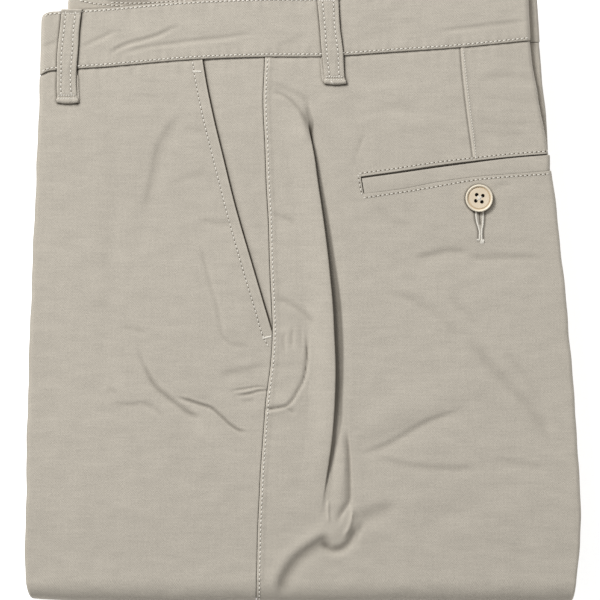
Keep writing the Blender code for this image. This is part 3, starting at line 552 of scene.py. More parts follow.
TOP_CREASES = (
    # head of the deep fold, where it springs from beside the seam
    Crease(((-20.1, 308.5), (-12.3, 306.4), (-6.9, 304), (-2.4, 302.2), (0.6, 300.1), (2.4, 296.8),
           (3.3, 292), (3.6, 286)), 0.45, 1.4, left=0.1, fade=7, far=1.6, dark=0.2),
    Crease(((-20.1, 304), (-13.5, 302.8), (-8.1, 299.4), (-3, 294), (0.9, 288), (3.3, 279)), 0.65, 1.1,
           left=0.15, right=0.08, fade=6, far=1.4, end_fade=12),
    Crease(((0.8, 297), (1.4, 292.6), (2.2, 287.6), (3.3, 283), (4.4, 278), (6.2, 271)), 0.85, 2.4,
           fade=10, far=1.2, dark=0.46),
    # second fold, right of the deep one
    Crease(((25.8, 102), (27, 90), (27.7, 78), (27.9, 66), (27.3, 57.6), (24.5, 53.2), (21.7, 48.4),
           (20.4, 42)), 1.25, 2.3, left=0.3, fade=10, far=0.42, dark=0.2),
    Crease(((19.6, 102), (18.4, 92), (16.6, 82), (14.8, 70)), 0.3, 1.6, left=0.3, fade=8),
    # hooked folds under the deep one
    Crease(((10, 34), (13.6, 31.2), (17.4, 29.2), (22.2, 29.6), (26.8, 33), (30.4, 38.8), (33.6, 42.8),
           (38, 46.2)), 1.8, 2.3, fade=6, far=1.3, end_fade=9, dark=0.2),
    Crease(((32, 43), (37, 47.6), (44, 51), (58, 55)), 1.3, 4.6, fade=9, far=1.2, dark=0.10),
    Crease(((28.6, 56), (29.2, 50), (27.4, 43), (23.6, 35.6)), -1.1, 1.1, fade=6, far=1, dark=0.22),
    Crease(((15, 60), (14.6, 52), (15.4, 44)), -0.7, 1, fade=5, far=1, dark=0.22),
    Crease(((17.5, 38.2), (8.8, 33), (0.4, 27.3), (-5.4, 22), (-9.9, 15.4), (-13, 9.4), (-14.4, 1)), 1.9,
           2.9, right=0.35, fade=8, far=1.9, dark=0.22),
    # drags across the back of the thigh
    Crease(((31, 86.6), (40, 88.6), (48.6, 91.8), (61.8, 99.2), (73.9, 106), (84.4, 109.9), (93, 112.8),
           (98, 115.4)), 0.8, 1.3, right=0.15, fade=18, far=2.8, dark=0.2),
    Crease(((42, 86.1), (55.9, 81.6), (67.9, 79.4), (81.9, 78), (97.9, 78.1), (109.9, 79.5)), 0.65, 1.9,
           fade=18, far=2, dark=0.18),
    Crease(((112, 85), (127.9, 81.2), (149, 78)), 0.4, 1.8, fade=11, far=2, dark=0.18),
    Crease(((96, 157), (106.9, 146.2), (114.9, 136.4), (123.9, 126.6), (132.9, 117.6), (141.9, 105.6),
           (151, 87)), 0.9, 3.6, left=0.3, fade=18, far=1.4, dark=0.12),
    Crease(((118, 152), (128, 140), (138, 126), (147, 110)), 0.4, 2.4, fade=14, far=1.6, dark=0.15),
    # hooks and short creases on both sides of the side seam
    Crease(((1.9, 160), (2.2, 149.2), (1.7, 139.2), (-0.2, 130.6), (-3.6, 124.2), (-7, 118.6),
           (-10.2, 115.6), (-15.3, 114.4), (-24, 113)), 0.95, 1.1, fade=11, far=0.7, left=0.22,
           end_fade=2.5, dark=0.28),
    Crease(((-12, 115), (-8, 113), (-4.6, 109.6)), 0.6, 0.9, fade=4),
    Crease(((-46, 124.2), (-35.7, 125.8), (-26.1, 127), (-20, 126)), 0.55, 0.7, fade=9, far=1.2,
           end_fade=1.5, dark=0.28),
    Crease(((-43, 121.6), (-32.1, 123), (-26.1, 124.6), (-20, 124.9)), 0.65, 0.75, left=0.3, right=0.1,
           fade=9, far=1.4, end_fade=1.5, dark=0.30),
    Crease(((-38, 118.4), (-32, 118.8), (-28.4, 119.8)), 0.3, 0.8, fade=3),
    Crease(((-52, 134.6), (-36, 137), (-20.5, 141.2)), 0.45, 1.7, fade=9),
    Crease(((-20.5, 230.4), (-10.1, 228.2), (-3, 223)), 0.55, 1.1, fade=6),
    Crease(((-19.5, 179.4), (-14, 179.2), (-7.6, 176.8), (-2.7, 173.6), (1.3, 170.6), (4.2, 167),
           (6, 161)), 0.6, 1.5, left=0.1, fade=8, far=1.8, dark=0.24),
    Crease(((-6.4, 164), (-7.1, 157), (-6.9, 148)), 0.5, 0.9, left=0.3, fade=6),
    Crease(((-11.4, 161), (-12.1, 153), (-11, 146)), 0.45, 0.9, left=0.3, fade=5),
    Crease(((-1.6, 166), (-1.8, 156), (-1.4, 146)), 0.3, 0.9, left=0.2, fade=6),
    # beside the back pocket's end
    Crease(((38, 282), (34.4, 273.4), (31.6, 266), (30.6, 256)), 0.35, 1.1, fade=9, far=1.2, dark=0.30),
    # painted shadow beside the worked edges of the buttonhole, and in its slit
    Crease(((102.3, 233), (102.8, 228), (103.8, 224.3), (104.7, 221.2), (104.8, 214)), 0.15, 0.95, fade=1,
           far=1, dark=4.6),
    Crease(((108.9, 233), (108.9, 228), (108.6, 224.3), (108.1, 221.2), (108.1, 214)), 0.15, 0.95, fade=1,
           far=1, dark=4.6),
    Crease(((105.3, 234), (105.7, 229), (106.2, 223.5)), 0.25, 0.75, fade=1, far=1, dark=3.6),
    # across the back below the pocket, and under the back of the waistband
    Crease(((40, 236.4), (55.9, 227), (70, 217.6)), 0.25, 2.2, fade=10),
    Crease(((64, 204), (76, 206.4), (87, 208.8), (95.9, 208.6), (101.9, 206)), 0.75, 1.6, fade=10, far=2),
    Crease(((97, 207.2), (103.9, 205.2), (121.9, 205.4), (146, 205)), 0.6, 1.3, fade=9),
    Crease(((113, 246.4), (120, 248.6), (127, 249.4)), 0.35, 0.8, fade=4),
    Crease(((103, 312), (121.9, 314), (143, 311.2)), 0.32, 1.7, fade=10),
    Crease(((106, 301.6), (127.9, 299.2), (147, 300.4)), 0.25, 1.5, fade=10),
    Crease(((104, 287.4), (117.9, 284.8), (139, 286.2)), 0.25, 1.6, fade=8),
    Crease(((104, 281.4), (116, 279), (136, 280)), 0.25, 1.4, fade=8),
    # broad drags below the pocket
    Crease(((50, 185.5), (66, 178.6), (79, 170.6), (88, 162.6), (97, 152)), 0.5, 2.4, left=0.2, fade=12,
           far=1.6, dark=0.14),
    Crease(((86, 182), (99, 170), (108, 160)), 0.3, 2.4, fade=9),
    # front of the thigh
    Crease(((-101, 155), (-98.7, 147.4), (-96.3, 140.8), (-93.3, 134.8), (-89.1, 127.6), (-82.5, 121.6),
           (-74.1, 115.2), (-68.1, 111), (-60, 107.8)), 1.05, 1.3, left=0.3, fade=32, far=2.2, end_fade=8,
           dark=0.26),
    Crease(((-79, 122), (-76.1, 121), (-68.1, 118.6), (-60.9, 116.2), (-56.1, 114.7), (-50.1, 110),
           (-44.1, 104.4), (-38.1, 100.7), (-32.6, 99.8)), 0.9, 0.8, left=0.2, right=0.1, fade=12, far=2,
           end_fade=7, dark=0.30),
    Crease(((-115, 117.2), (-102.1, 116.4), (-96.1, 117.2), (-90.1, 114.4), (-80.1, 106.2)), 0.5, 1.2,
           fade=10, far=2.6),
    Crease(((-119, 126.4), (-114, 124.6), (-110, 122.4)), 0.35, 1.1, fade=4),
    Crease(((-112, 163.6), (-103, 162), (-92, 158.8)), 0.4, 1.1, fade=6),
    # lower end of the pocket bag inside
    Crease(((-62, 213), (-58.4, 198), (-56.1, 189.2), (-52.1, 175.2), (-50.1, 165), (-48.3, 157.2),
           (-44.1, 153), (-36.9, 151.7), (-27, 152.4)), 0.35, 1.3, left=0.1, fade=14, far=1.4),
    Crease(((-64, 228.2), (-52.1, 225.4), (-39, 225.6)), 0.4, 1, fade=7),
    # under the front of the waistband
    Crease(((-71, 295), (-80.1, 283), (-85.1, 275.2), (-89.1, 263.2), (-90.4, 255), (-93.1, 243.2),
           (-97, 226)), 0.55, 1.9, fade=16, far=3),
    Crease(((-73, 283.2), (-66.1, 281.8), (-58, 280.4)), 0.35, 1, fade=5),
    Crease(((-80, 249.6), (-68.1, 253.2), (-56, 256.8)), 0.35, 1.2, fade=8),
    Crease(((-52, 61.8), (-44, 57.6), (-37, 49.6)), 0.2, 3, fade=8),
    # the long edge of the right leg's seams, pressed through
    Crease(((-120, 300), (-117, 240), (-120, 180), (-126, 120)), 0.15, 5, left=0.12, fade=30),
)
TOP_RIPPLES = (
    Ripple(11, 0.17, 45, 120),
    Ripple(12, 0.055, 14, 30),
    Ripple(13, 0.018, 5, 10),
)
TOP_RELIEF = Relief(BROAD_WAVES + TOP_CREASES + TOP_RIPPLES)
LEG_RELIEF = Relief((
    Ripple(21, 0.22, 40, 110),
    Ripple(22, 0.07, 14, 30),
    Crease(((-132, -48), (-72, -92), (-34, -104)), 0.7, 5, fade=30, dark=0.16),
    Crease(((-10, -76), (60, -108), (125, -118)), 0.7, 5, fade=30, dark=0.16),
    Crease(((-112, -216), (-66, -196), (-30, -192)), 0.6, 5, fade=25, dark=0.16),
    Crease(((-2, -262), (50, -240), (112, -246)), 0.6, 5, fade=25, dark=0.16),
    Crease(((-104, -334), (-62, -316), (-28, -318)), 0.6, 5, fade=22, dark=0.16),
))
BAND_RELIEF = Relief((
    Crease(((-160, 330.4), (-152, 332.8), (-146, 335.4)), 0.3, 1.1, fade=4),
    Crease(((-135, 330.4), (-128.3, 333.5), (-121.7, 336.4), (-115.8, 339.4), (-110, 342)), 0.4, 1.2,
           right=0.1, fade=8, far=1.8, end_fade=9),
    Crease(((-117.6, 326), (-111.4, 330.3), (-104.1, 333.4), (-95.3, 335.7), (-86.4, 338.7), (-79.1, 342),
           (-71, 345)), 0.55, 1.1, left=0.1, right=0.2, fade=8, far=1.8, end_fade=16, dark=0.26),
    Crease(((-110, 327), (-99.6, 329.8), (-87.9, 332), (-76.2, 333.5), (-64.5, 335), (-52.7, 336.2),
           (-38.1, 338), (-22, 340.6)), 0.5, 1.2, right=0.15, fade=12, far=1.8, end_fade=30, dark=0.26),
    Crease(((-104, 326.8), (-88, 328.8), (-72, 329.4)), 0.2, 1.2, fade=8),
    Crease(((80, 340.6), (91, 341.8), (105.9, 343.6), (121, 345.4), (137, 347.2)), 0.42, 1.2, right=0.1,
           fade=10, far=2, end_fade=14, dark=0.26),
    Crease(((30, 336), (46, 339.4), (60, 343)), 0.25, 2.2, fade=9),
    Crease(((40, 345), (56, 346.4), (70, 345.4)), 0.2, 2, fade=8),
    Crease(((-20, 330), (-8, 334), (4, 340)), 0.25, 2, fade=8),
    Ripple(31, 0.08, 30, 80),
    Ripple(32, 0.04, 9, 20),
))


def painted_shade_beside_loops(x: Array, up: Array) -> Array:
    """The painted shade on the cloth round both upper belt loops, strongest on the side towards the back.

    It is a bell of the distance from the loop's outline, past its sides and its lower end.
    """
    shade = np.zeros(x.shape)
    for loop in (FRONT_LOOP, SIDE_LOOP):
        top, bottom = loop.rows[0][0], loop.rows[-1][0]
        aside = x - loop.smooth("x", up)
        out = np.hypot(np.maximum(np.abs(aside) - LOOP_WIDTH / 2, 0.0), np.maximum(bottom - up, 0.0))
        strength = 0.62 + 0.18 * np.clip(aside / (LOOP_WIDTH / 2), -1.0, 1.0)
        shade = np.maximum(shade, strength * bell(out / 0.9) * (up < top))
    return shade


def seam_dip(distance: Array) -> Array:
    """How far a panel's edge goes down at the side seam: a narrow bell."""
    return 0.24 * bell(distance / 0.28)


def side_sections(run: Array, name: str) -> Array:
    """Read a crease or the side seam of the left leg, on the top run and past its end."""
    on_top = TOP_RUN.smooth(name, STACK.fold_radius - run)
    past = LEG_RUN.straight(name, run)
    return np.where(run <= 0, on_top, past)


def seam_pucker(distance: Array, along: Array, pitch: float = 6.3, reach: float = 4.5) -> Array:
    """The cloth's gathering beside a row of stitches.

    Two sine waves along the seam that beat with each other, fading as a bell with the distance.

    Args:
        distance: From the row of stitches.
        along: Along it.
        pitch: From one gather to the next.
        reach: How far the gathers run out into the cloth.

    Returns:
        The height of the gathers.
    """
    waves = np.sin(along * math.tau / pitch) + 0.7 * np.sin(along * math.tau / (pitch * 1.37) + 1.1)
    return 0.10 * waves * bell(distance / reach)


# ---------------- meshes


@dataclass(frozen=True)
class Sheet:
    """Two matching grids of points in millimetres, a cloth's face and inside, and its own plan.

    `shade` is painted shade: how dark each point of the face is painted, in creases and beside what
    stands on it. It is negative for painted highlight on ridges and along some edges.
    """

    face: Array
    inside: Array
    plan: Array
    shade: Array | float = 0.0
    round_trip: bool = False      # the last column joins the first

    def parts(self) -> tuple[Array, Array, Array, Array]:
        """The closed form: its points, its faces, and each point's place in the plan and shade.

        The face is a grid of quads. The inside is one of every second row and column, and strips
        close the open rims. A triangle names its last corner twice.
        """
        rows, columns = self.face.shape[:2]
        index = np.arange(rows * columns).reshape(rows, columns)
        if self.round_trip:
            index = np.concatenate([index, index[:, :1]], axis=1)
        r, c = (np.append(np.arange(0, count - 1, 2), count - 1) for count in index.shape)
        kept = c[:-1] if self.round_trip else c
        back = rows * columns + np.arange(len(r) * len(kept)).reshape(len(r), len(kept))
        if self.round_trip:
            back = np.concatenate([back, back[:, :1]], axis=1)
        faces = [
            np.stack([index[:-1, :-1], index[1:, :-1], index[1:, 1:], index[:-1, 1:]], axis=-1),
            np.stack([back[:-1, :-1], back[:-1, 1:], back[1:, 1:], back[1:, :-1]], axis=-1),
            rim(index[-1], back[-1], c), rim(index[0, ::-1], back[0, ::-1], c[-1] - c[::-1])]
        if not self.round_trip:
            faces += [rim(index[:, 0], back[:, 0], r),
                      rim(index[::-1, -1], back[::-1, -1], r[-1] - r[::-1])]
        inside = self.inside[r][:, kept].reshape(-1, 3)
        shade = np.broadcast_to(self.shade, (rows, columns)).ravel()
        return (
            np.concatenate([self.face.reshape(-1, 3), inside]),
            np.concatenate([part.reshape(-1, 4) for part in faces]),
            np.concatenate([self.plan.reshape(-1, 2), self.plan[r][:, kept].reshape(-1, 2)]),
            np.concatenate([shade, np.zeros(len(inside))]))


def rim(outer: Array, inner: Array, kept: Array) -> Array:
    """Join a line of points to another that has only every second of them, or its last one.

    Args:
        outer: The full line's point numbers.
        inner: The thinned line's.
        kept: Which places of the full line the thinned one has.

    Returns:
        Faces of four corners, a triangle's last corner twice.
    """
    a, b = kept[:-1], kept[1:]
    wide = b - a == 2
    return np.concatenate([
        np.stack([outer[a], inner[:-1], inner[1:], outer[a + 1]], axis=-1),
        np.stack([outer[a + 1], inner[1:], outer[b], outer[b]], axis=-1)[wide]])


def to_frame(points: Array) -> Array:
    """Turn x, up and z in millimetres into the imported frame's metres."""
    return (points + np.array([0.0, UP_ZERO, 0.0])) * MM


def outward(points: Array, faces: Array) -> Array:
    """Turn all faces round if the form that they close has a negative volume."""
    a, b, c, d = (points[faces[:, i]] for i in range(4))
    volume = (a * np.cross(b, c)).sum() + (a * np.cross(c, d)).sum()
    return faces[:, [1, 0, 3, 2]] if volume < 0 else faces


def mesh_from(name: str, points: Array, faces: Array) -> bpy.types.Mesh:
    """A mesh from points in millimetres and faces of four corners, a triangle's last one twice."""
    mesh = bpy.data.meshes.new(name)
    three = faces[:, 2] == faces[:, 3]
    mesh.from_pydata(to_frame(points), [], faces[~three].tolist() + faces[three][:, :3].tolist())
    return mesh


def in_scene(name: str, data: bpy.types.ID) -> bpy.types.Object:
    """A new object for a mesh, a lamp or a camera, put into the scene."""
    new = bpy.data.objects.new(name, data)
    bpy.context.scene.collection.objects.link(new)
    return new


def make_object(
        name: str, points: Array, faces: Array, plan: Array | None, finish: Material,
        sharp: float = 55.0, shade: Array | None = None) -> bpy.types.Object:
    """Args:
        name: The piece's name.
        points: Its points, as x, up and z in millimetres.
        faces: Four corners each; a triangle names its last corner twice.
        plan: Each point's place in the flat cloth in millimetres, if the finish follows it.
        finish: Its material.
        sharp: Edges that turn by more degrees than this are shown sharp.
        shade: The painted shade at each point, for a finish that reads it.

    Returns:
        The new object, riding on the one body.
    """
    mesh = mesh_from(name, points, faces)
    if plan is not None:
        corners = np.empty(len(mesh.loops), dtype=np.int32)
        mesh.loops.foreach_get("vertex_index", corners)
        layer = mesh.uv_layers.new(name="plan")
        layer.uv.foreach_set("vector", (plan[corners] * MM).astype(np.float32).ravel())
    if shade is not None:
        layer = mesh.attributes.new("shade", "FLOAT", "POINT")
        layer.data.foreach_set("value", shade.astype(np.float32))
    mesh.materials.append(finish)
    mesh.shade_smooth()
    mesh.set_sharp_from_angle(angle=math.radians(sharp))
    mesh.validate()
    piece = in_scene(name, mesh)
    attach(piece, "root")
    LOG.info("%s: %d faces", name, len(mesh.polygons))
    return piece


def sheet_object(name: str, sheets: Sequence[Sheet], finish: Material) -> bpy.types.Object:
    """One piece of cloth from one or more closed sheets."""
    points, faces, plans, shades, start = [], [], [], [], 0
    for sheet in sheets:
        p, f, plan, shade = sheet.parts()
        points.append(p)
        faces.append(outward(p, f) + start)
        plans.append(plan)
        shades.append(shade)
        start += len(p)
    return make_object(
        name, np.concatenate(points), np.concatenate(faces), np.concatenate(plans), finish,
        shade=np.concatenate(shades))


@dataclass(frozen=True)
class Cut:
    """The flat cloth that a part was cut from, and the part that it rests on."""

    flat: tuple[float, float]     # width and length, in metres
    area: float                   # in square metres
    rests_on: str

    def dress(self, name: str, sheets: Sequence[Sheet], finish: Material) -> None:
        """Make a part's cloth, which stands for the part's node, and hide that node."""
        piece = sheet_object(name + "_cloth", sheets, finish)
        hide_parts(name)


# ---------------- the left leg's two panels


NOSE_ANGLES = np.radians(np.linspace(0.0, 180.0, 15)[1:-1])
LOWER_SHARES = np.concatenate([[0.0], np.linspace(0.03, 1.0, 11)])
PAST_RUNS = np.concatenate([
    STACK.thigh_arc * (1 - np.cos(np.linspace(0.0, math.pi, 18)))[1:] / 2,
    np.linspace(STACK.thigh_arc, STACK.knee_run, 50)[1:],
    np.linspace(STACK.knee_run, STACK.middle_run, 9)[1:],
    np.linspace(STACK.middle_run, STACK.leg_end, 10)[1:],
])


def outer_depth(x: Array, run: Array) -> Array:
    """Depth of the left leg's outer face past the thigh fold: dents only, so that it lies flat.

    The row of stitches beside the side seam lies in a groove there.
    """
    relief = -LEG_RELIEF.height(x, -run)
    fade = ease(run / 16.0)
    on_floor = ease((run - STACK.thigh_arc + 6.0) / 12.0)
    kept = on_floor * np.maximum(relief, 0.0) + (1 - on_floor) * np.clip(relief, -0.35, 0.35)
    groove = 0.5 * on_floor * bell((x - side_sections(run, "seam") - SEAM_STITCH) / 0.9)
    return fade * kept + groove - (1 - fade) * TOP_RELIEF.height(x, STACK.fold_radius - run)


@dataclass(frozen=True)
class Panel:
    """One panel of the left leg, from the side seam round its crease to the inseam."""

    name: str
    side: int                     # the way its crease bulges, -1 to the front, 1 to the back
    crease: str                   # its crease's column in the tables
    cut: Cut
    # painted shade on the bend of its crease, a painted highlight where below 0
    painted_bend_shade: float              # how much darker the bend of its crease lies
    crease_x: float               # about where its crease lies at the waist and the welt

    @property
    def weights(self) -> Array:
        """Each row of the top run as shares of waist seam, slit and welt base, and a constant."""
        raise NotImplementedError

    @property
    def dip(self) -> Array:
        """How far each row of the top run is let in at the crease."""
        return np.zeros(len(self.weights))

    def upper(self, up: Array) -> tuple[Array, Array]:
        """The upper ply's x on the face and on the inside, from the side seam to the crease."""
        raise NotImplementedError

    def rise(self, x: Array, up: Array, inside: bool) -> Array:
        """Height of the upper ply over its plain level."""
        raise NotImplementedError

    def past_shares(self) -> Array:
        """Each column's share of the way from the side seam to the crease's start."""
        raise NotImplementedError

    def shade(self, x: Array, up: Array) -> Array:
        """The painted shade on the upper ply's face: in its creases and on the cloth beside the belt
        loops.
        """
        return TOP_RELIEF.shade(x, up) + painted_shade_beside_loops(x, up)

    def row_up(self, x: Array) -> Array:
        """`up` of every row of the top run at x: the row's shares of the seams' places there."""
        x = np.atleast_2d(x)
        waist, slit, base, fixed = (self.weights[:, i:i + 1] for i in range(4))
        return (waist * LEFT_WAIST.smooth("up", x) + slit * WELT.smooth("slit", x)
                + base * WELT.smooth("base", x) + fixed)

    def start(self, run: Array) -> Array:
        """Where the crease's rounding starts at each run."""
        radius = (STACK.layer + STACK.top_loft(STACK.fold_radius - run)) / 2
        return side_sections(run, self.crease) - self.side * radius

    def inner(self, run: Array) -> Array:
        """Where the lower ply ends at each run: the inseam and the centre seam."""
        past = LEG_RUN.straight("seam", run) + INSEAM_OFFSET * np.clip(
            1 - run / STACK.knee_run, 0.0, 1.0)
        on_top = INNER_EDGES.straight(self.crease, STACK.fold_radius - run)
        return np.where(run <= 0, on_top, past) + self.side * 0.2

    def wrap(self, run: Array, ply_x: Array, ply_depth: Array, inset: float, dip: Array) -> Array:
        """Carry rows on round the crease and along the lower ply.

        Round the crease the section is half a circle between the plies. Its reach is more by the
        upper ply's own height, times the square of the half angle's cosine, and wavers a little
        along the crease.

        Args:
            run: Each row's run at the crease.
            ply_x: The upper ply's x, rows by columns.
            ply_depth: The upper ply's depth, rows by columns.
            inset: 0 for the face, the cloth's thickness for the inside.
            dip: How far each row is let in for the welt.

        Returns:
            x, depth and the place across the flat cloth, rows by columns, stacked.
        """
        run, dip = run[:, None], dip[:, None]
        loft = STACK.top_loft(STACK.fold_radius - run)
        radius, middle = (STACK.layer + loft) / 2, (STACK.layer - loft) / 2
        start = self.start(run)
        own_height = (inset - loft) - ply_depth[:, -1:] + dip
        near = np.cos(NOSE_ANGLES / 2) ** 2
        let_in = 1 - ease((NOSE_ANGLES - math.radians(95)) / math.radians(30))
        wobble = 0.16 * np.sin(run / 9.1 + 2.0 * self.side) + 0.12 * np.sin(run / 3.7)
        reach = radius - inset + own_height * near - dip * let_in + wobble * np.sin(NOSE_ANGLES)
        nose_x = start + self.side * reach * np.sin(NOSE_ANGLES)
        nose_depth = middle - reach * np.cos(NOSE_ANGLES)
        lower_x = start + (self.inner(run) - start) * LOWER_SHARES
        lower_depth = np.full(lower_x.shape, STACK.layer - inset)
        bent = start + self.side * radius * NOSE_ANGLES
        below = start + self.side * (math.pi * radius + np.abs(lower_x - start))
        return np.stack([
            np.concatenate([ply_x, nose_x, lower_x], axis=1),
            np.concatenate([ply_depth, nose_depth, lower_depth], axis=1),
            np.concatenate([ply_x, bent, below], axis=1),
        ])

    def top_rows(self, inside: bool) -> tuple[Array, Array, Array]:
        """The rows of the top run: points in space, places in the flat cloth, and painted shade.

        The first rows lie above the waist seam, under the waistband. Round the crease and on the
        lower ply those rows close up below the seam instead.
        """
        inset = CLOTH if inside else 0.0
        crease_up = self.row_up(np.full(1, self.crease_x))[:, 0]
        up = np.repeat(crease_up[:, None], len(self.past_shares()), axis=1)
        for _ in range(4):
            face_x, inside_x = self.upper(up)
            up = self.row_up(face_x)
        x = inside_x if inside else face_x
        depth = inset - STACK.top_loft(up) - self.rise(face_x, up, inside)
        run = STACK.fold_radius - crease_up
        all_x, all_depth, across = self.wrap(run, x, depth, inset, self.dip)
        all_up = self.row_up(all_x)
        waist = LEFT_WAIST.smooth("up", all_x)
        hidden = np.concatenate([
            np.zeros(x.shape[1]), ease((NOSE_ANGLES - 0.7) / 0.9), np.ones(len(LOWER_SHARES))])
        below = waist - all_up
        closed = np.maximum(below, 0.25 + 0.05 * (below - WAIST_STEPS[0]))
        all_up = waist - (below + (closed - below) * hidden)
        points = STACK.place(all_x, STACK.fold_radius - all_up, all_depth)
        shade = self.shade(face_x, up)
        # round the crease's bend the painted shade fades, and the bend gets its own painted shade or
        # highlight
        shade = np.concatenate([
            shade, shade[:, -1:] * np.cos(NOSE_ANGLES / 2) ** 4
            + self.painted_bend_shade * np.sin(NOSE_ANGLES) ** 2,
            np.zeros((len(shade), len(LOWER_SHARES)))], axis=1)
        return points, np.stack([across, all_up - STACK.fold_radius], axis=-1), shade

    def past_rows(self, inside: bool) -> tuple[Array, Array, Array]:
        """The rows past the thigh fold, their columns closing in as the leg narrows."""
        inset = CLOTH if inside else 0.0
        edge = side_sections(PAST_RUNS, "seam") + self.side * SEAM_GAP
        start = self.start(PAST_RUNS)
        x = edge[:, None] + (start - edge)[:, None] * self.past_shares()
        run = np.repeat(PAST_RUNS[:, None], x.shape[1], axis=1)
        depth = inset + outer_depth(x, run) + seam_dip(x - edge[:, None])
        all_x, all_depth, across = self.wrap(PAST_RUNS, x, depth, inset, np.zeros(len(PAST_RUNS)))
        all_run = np.repeat(PAST_RUNS[:, None], all_x.shape[1], axis=1)
        shade = np.zeros(all_x.shape)
        # painted shade: the creases, and darker where the thigh fold turns under
        shade[:, :x.shape[1]] = (1 - ease(run / 16.0)) * TOP_RELIEF.shade(
            x, STACK.fold_radius - run) + LEG_RELIEF.shade(x, -run) + 0.13 * bell((run - 17.0) / 9.0)
        # painted shade or highlight on the crease's bend
        shade[:, x.shape[1]:x.shape[1] + len(NOSE_ANGLES)] = (
            self.painted_bend_shade * np.sin(NOSE_ANGLES) ** 2)
        return STACK.place(all_x, all_run, all_depth), np.stack([across, -all_run], axis=-1), shade

    def make(self, finish: Material) -> None:
        """Build the panel and dress its node."""
        face, inside = (
            [np.concatenate(rows) for rows in zip(self.top_rows(inner), self.past_rows(inner))]
            for inner in (False, True))
        self.cut.dress(self.name, [Sheet(face[0], inside[0], face[1], face[2])], finish)


def paced(*stretches: tuple[float, float, int]) -> Array:
    """Places in stretches of even steps, each given as its start, its end and how many steps."""
    return np.concatenate(
        [[stretches[0][0]]] + [np.linspace(a, b, count + 1)[1:] for a, b, count in stretches])


# Rows start a little above the waist seam, under the waistband
WAIST_STEPS = np.array([-2.4, -1.2, -0.4, 0.2, 0.7, 1.2, 1.8, 2.5, 3.4, 4.6])

# Columns of the back panel beside its seam, the welt's end and the dart
NEAR_SEAM = np.array([0.0, 0.4, 0.9, 1.5, 2.1, 2.9])
NEAR_WELT = np.array([-2.4, -1.2, -0.5, 0.0, 0.5, 1.2, 2.4])
NEAR_DART = np.array([
    -4.2, -3.5, -2.9, -2.3, -1.7, -1.1, -0.6, -0.2, 0.2, 0.6, 1.1, 1.7, 2.3, 2.9, 3.5, 4.2])


def waist_dip(distance: Array, x: Array) -> Array:
    """How the cloth goes down under the waistband, with the gathers of that seam."""
    down = 0.6 * (1 - ease((distance + 0.6) / 2.0)) + 0.15 * bell((distance - 0.4) / 0.8)
    return -down + seam_pucker(distance, x, 7.1, 7.0) * ease(distance / 2.0)


@dataclass(frozen=True)
class FrontPanel(Panel):
    """The left front, with the slanted pocket edge."""

    @cached_property
    def shares(self) -> Array:
        """Columns from the pocket edge or side seam to the crease, close together at the edge."""
        near = np.array([0.0, 0.25, 0.6, 1.0, 1.6, 2.4, 3.4, 4.4, 5.2, 5.6, 6.0, 6.6, 7.4]) / 130.0
        return np.concatenate([
            near, paced((8.2, 50.0, 58), (50.0, 92.0, 52), (92.0, 130.0, 24)) / 130.0])

    def past_shares(self) -> Array:
        """The same columns go on past the thigh fold."""
        return self.shares

    @cached_property
    def weights(self) -> Array:
        """Rows ease from the waist seam to the thigh fold, 307 mm below it."""
        share = np.concatenate([
            WAIST_STEPS, paced((6.0, 95.0, 52), (95.0, 160.0, 40), (160.0, 184.0, 26),
                               (184.0, 222.0, 68), (222.0, 307.0, 46))]) / 307.0
        none = np.zeros(len(share))
        return np.stack([1 - share, none, none, STACK.fold_radius * share], axis=-1)

    def upper(self, up: Array) -> tuple[Array, Array]:
        """Even shares from the edge to the crease, the inside right under the face."""
        edge = self.edge(up)
        start = self.start(STACK.fold_radius - up)
        x = edge + (start - edge) * self.shares
        return x, x

    def edge(self, up: Array) -> Array:
        """The slanted pocket edge, and the side seam below it."""
        slant = SLANT.smooth("x", up)
        seam = TOP_RUN.smooth("seam", up)
        return np.where(up > SLANT_END, slant, seam) - SEAM_GAP

    def hemmed(self, x: Array, up: Array) -> tuple[Array, Array]:
        """How far in from the edge each point lies, and 1 on the pocket's hem, 0 below it."""
        return self.edge(up) - x, ease((up - SLANT_END) / 6.0)

    def plain_height(self, x: Array, up: Array) -> Array:
        """The relief with the doubled hem of the pocket edge and its gathers."""
        distance, hem = self.hemmed(x, up)
        height = TOP_RELIEF.height(x, up) + waist_dip(LEFT_WAIST.smooth("up", x) - up, x)
        height += 0.38 * hem * (1 - ease((distance - 5.0) / 1.6))
        height += 0.5 * seam_pucker(distance - 5.6, up, 6.9, 4.0) * hem
        return height - 0.14 * hem * bell((distance - 5.7) / 0.6)

    def shade(self, x: Array, up: Array) -> Array:
        """Also a painted highlight along the pocket edge."""
        distance, hem = self.hemmed(x, up)
        return super().shade(x, up) - 0.45 * hem * bell((distance - 0.45) / 0.45)

    def rise(self, x: Array, up: Array, inside: bool) -> Array:
        """The plain height, less the rounding of the pocket edge and the dip at the side seam."""
        distance, hem = self.hemmed(x, up)
        height = self.plain_height(x, up)
        if inside:
            return height
        return height - hem * edge_roll(distance, 0.5) - (1 - hem) * seam_dip(distance)


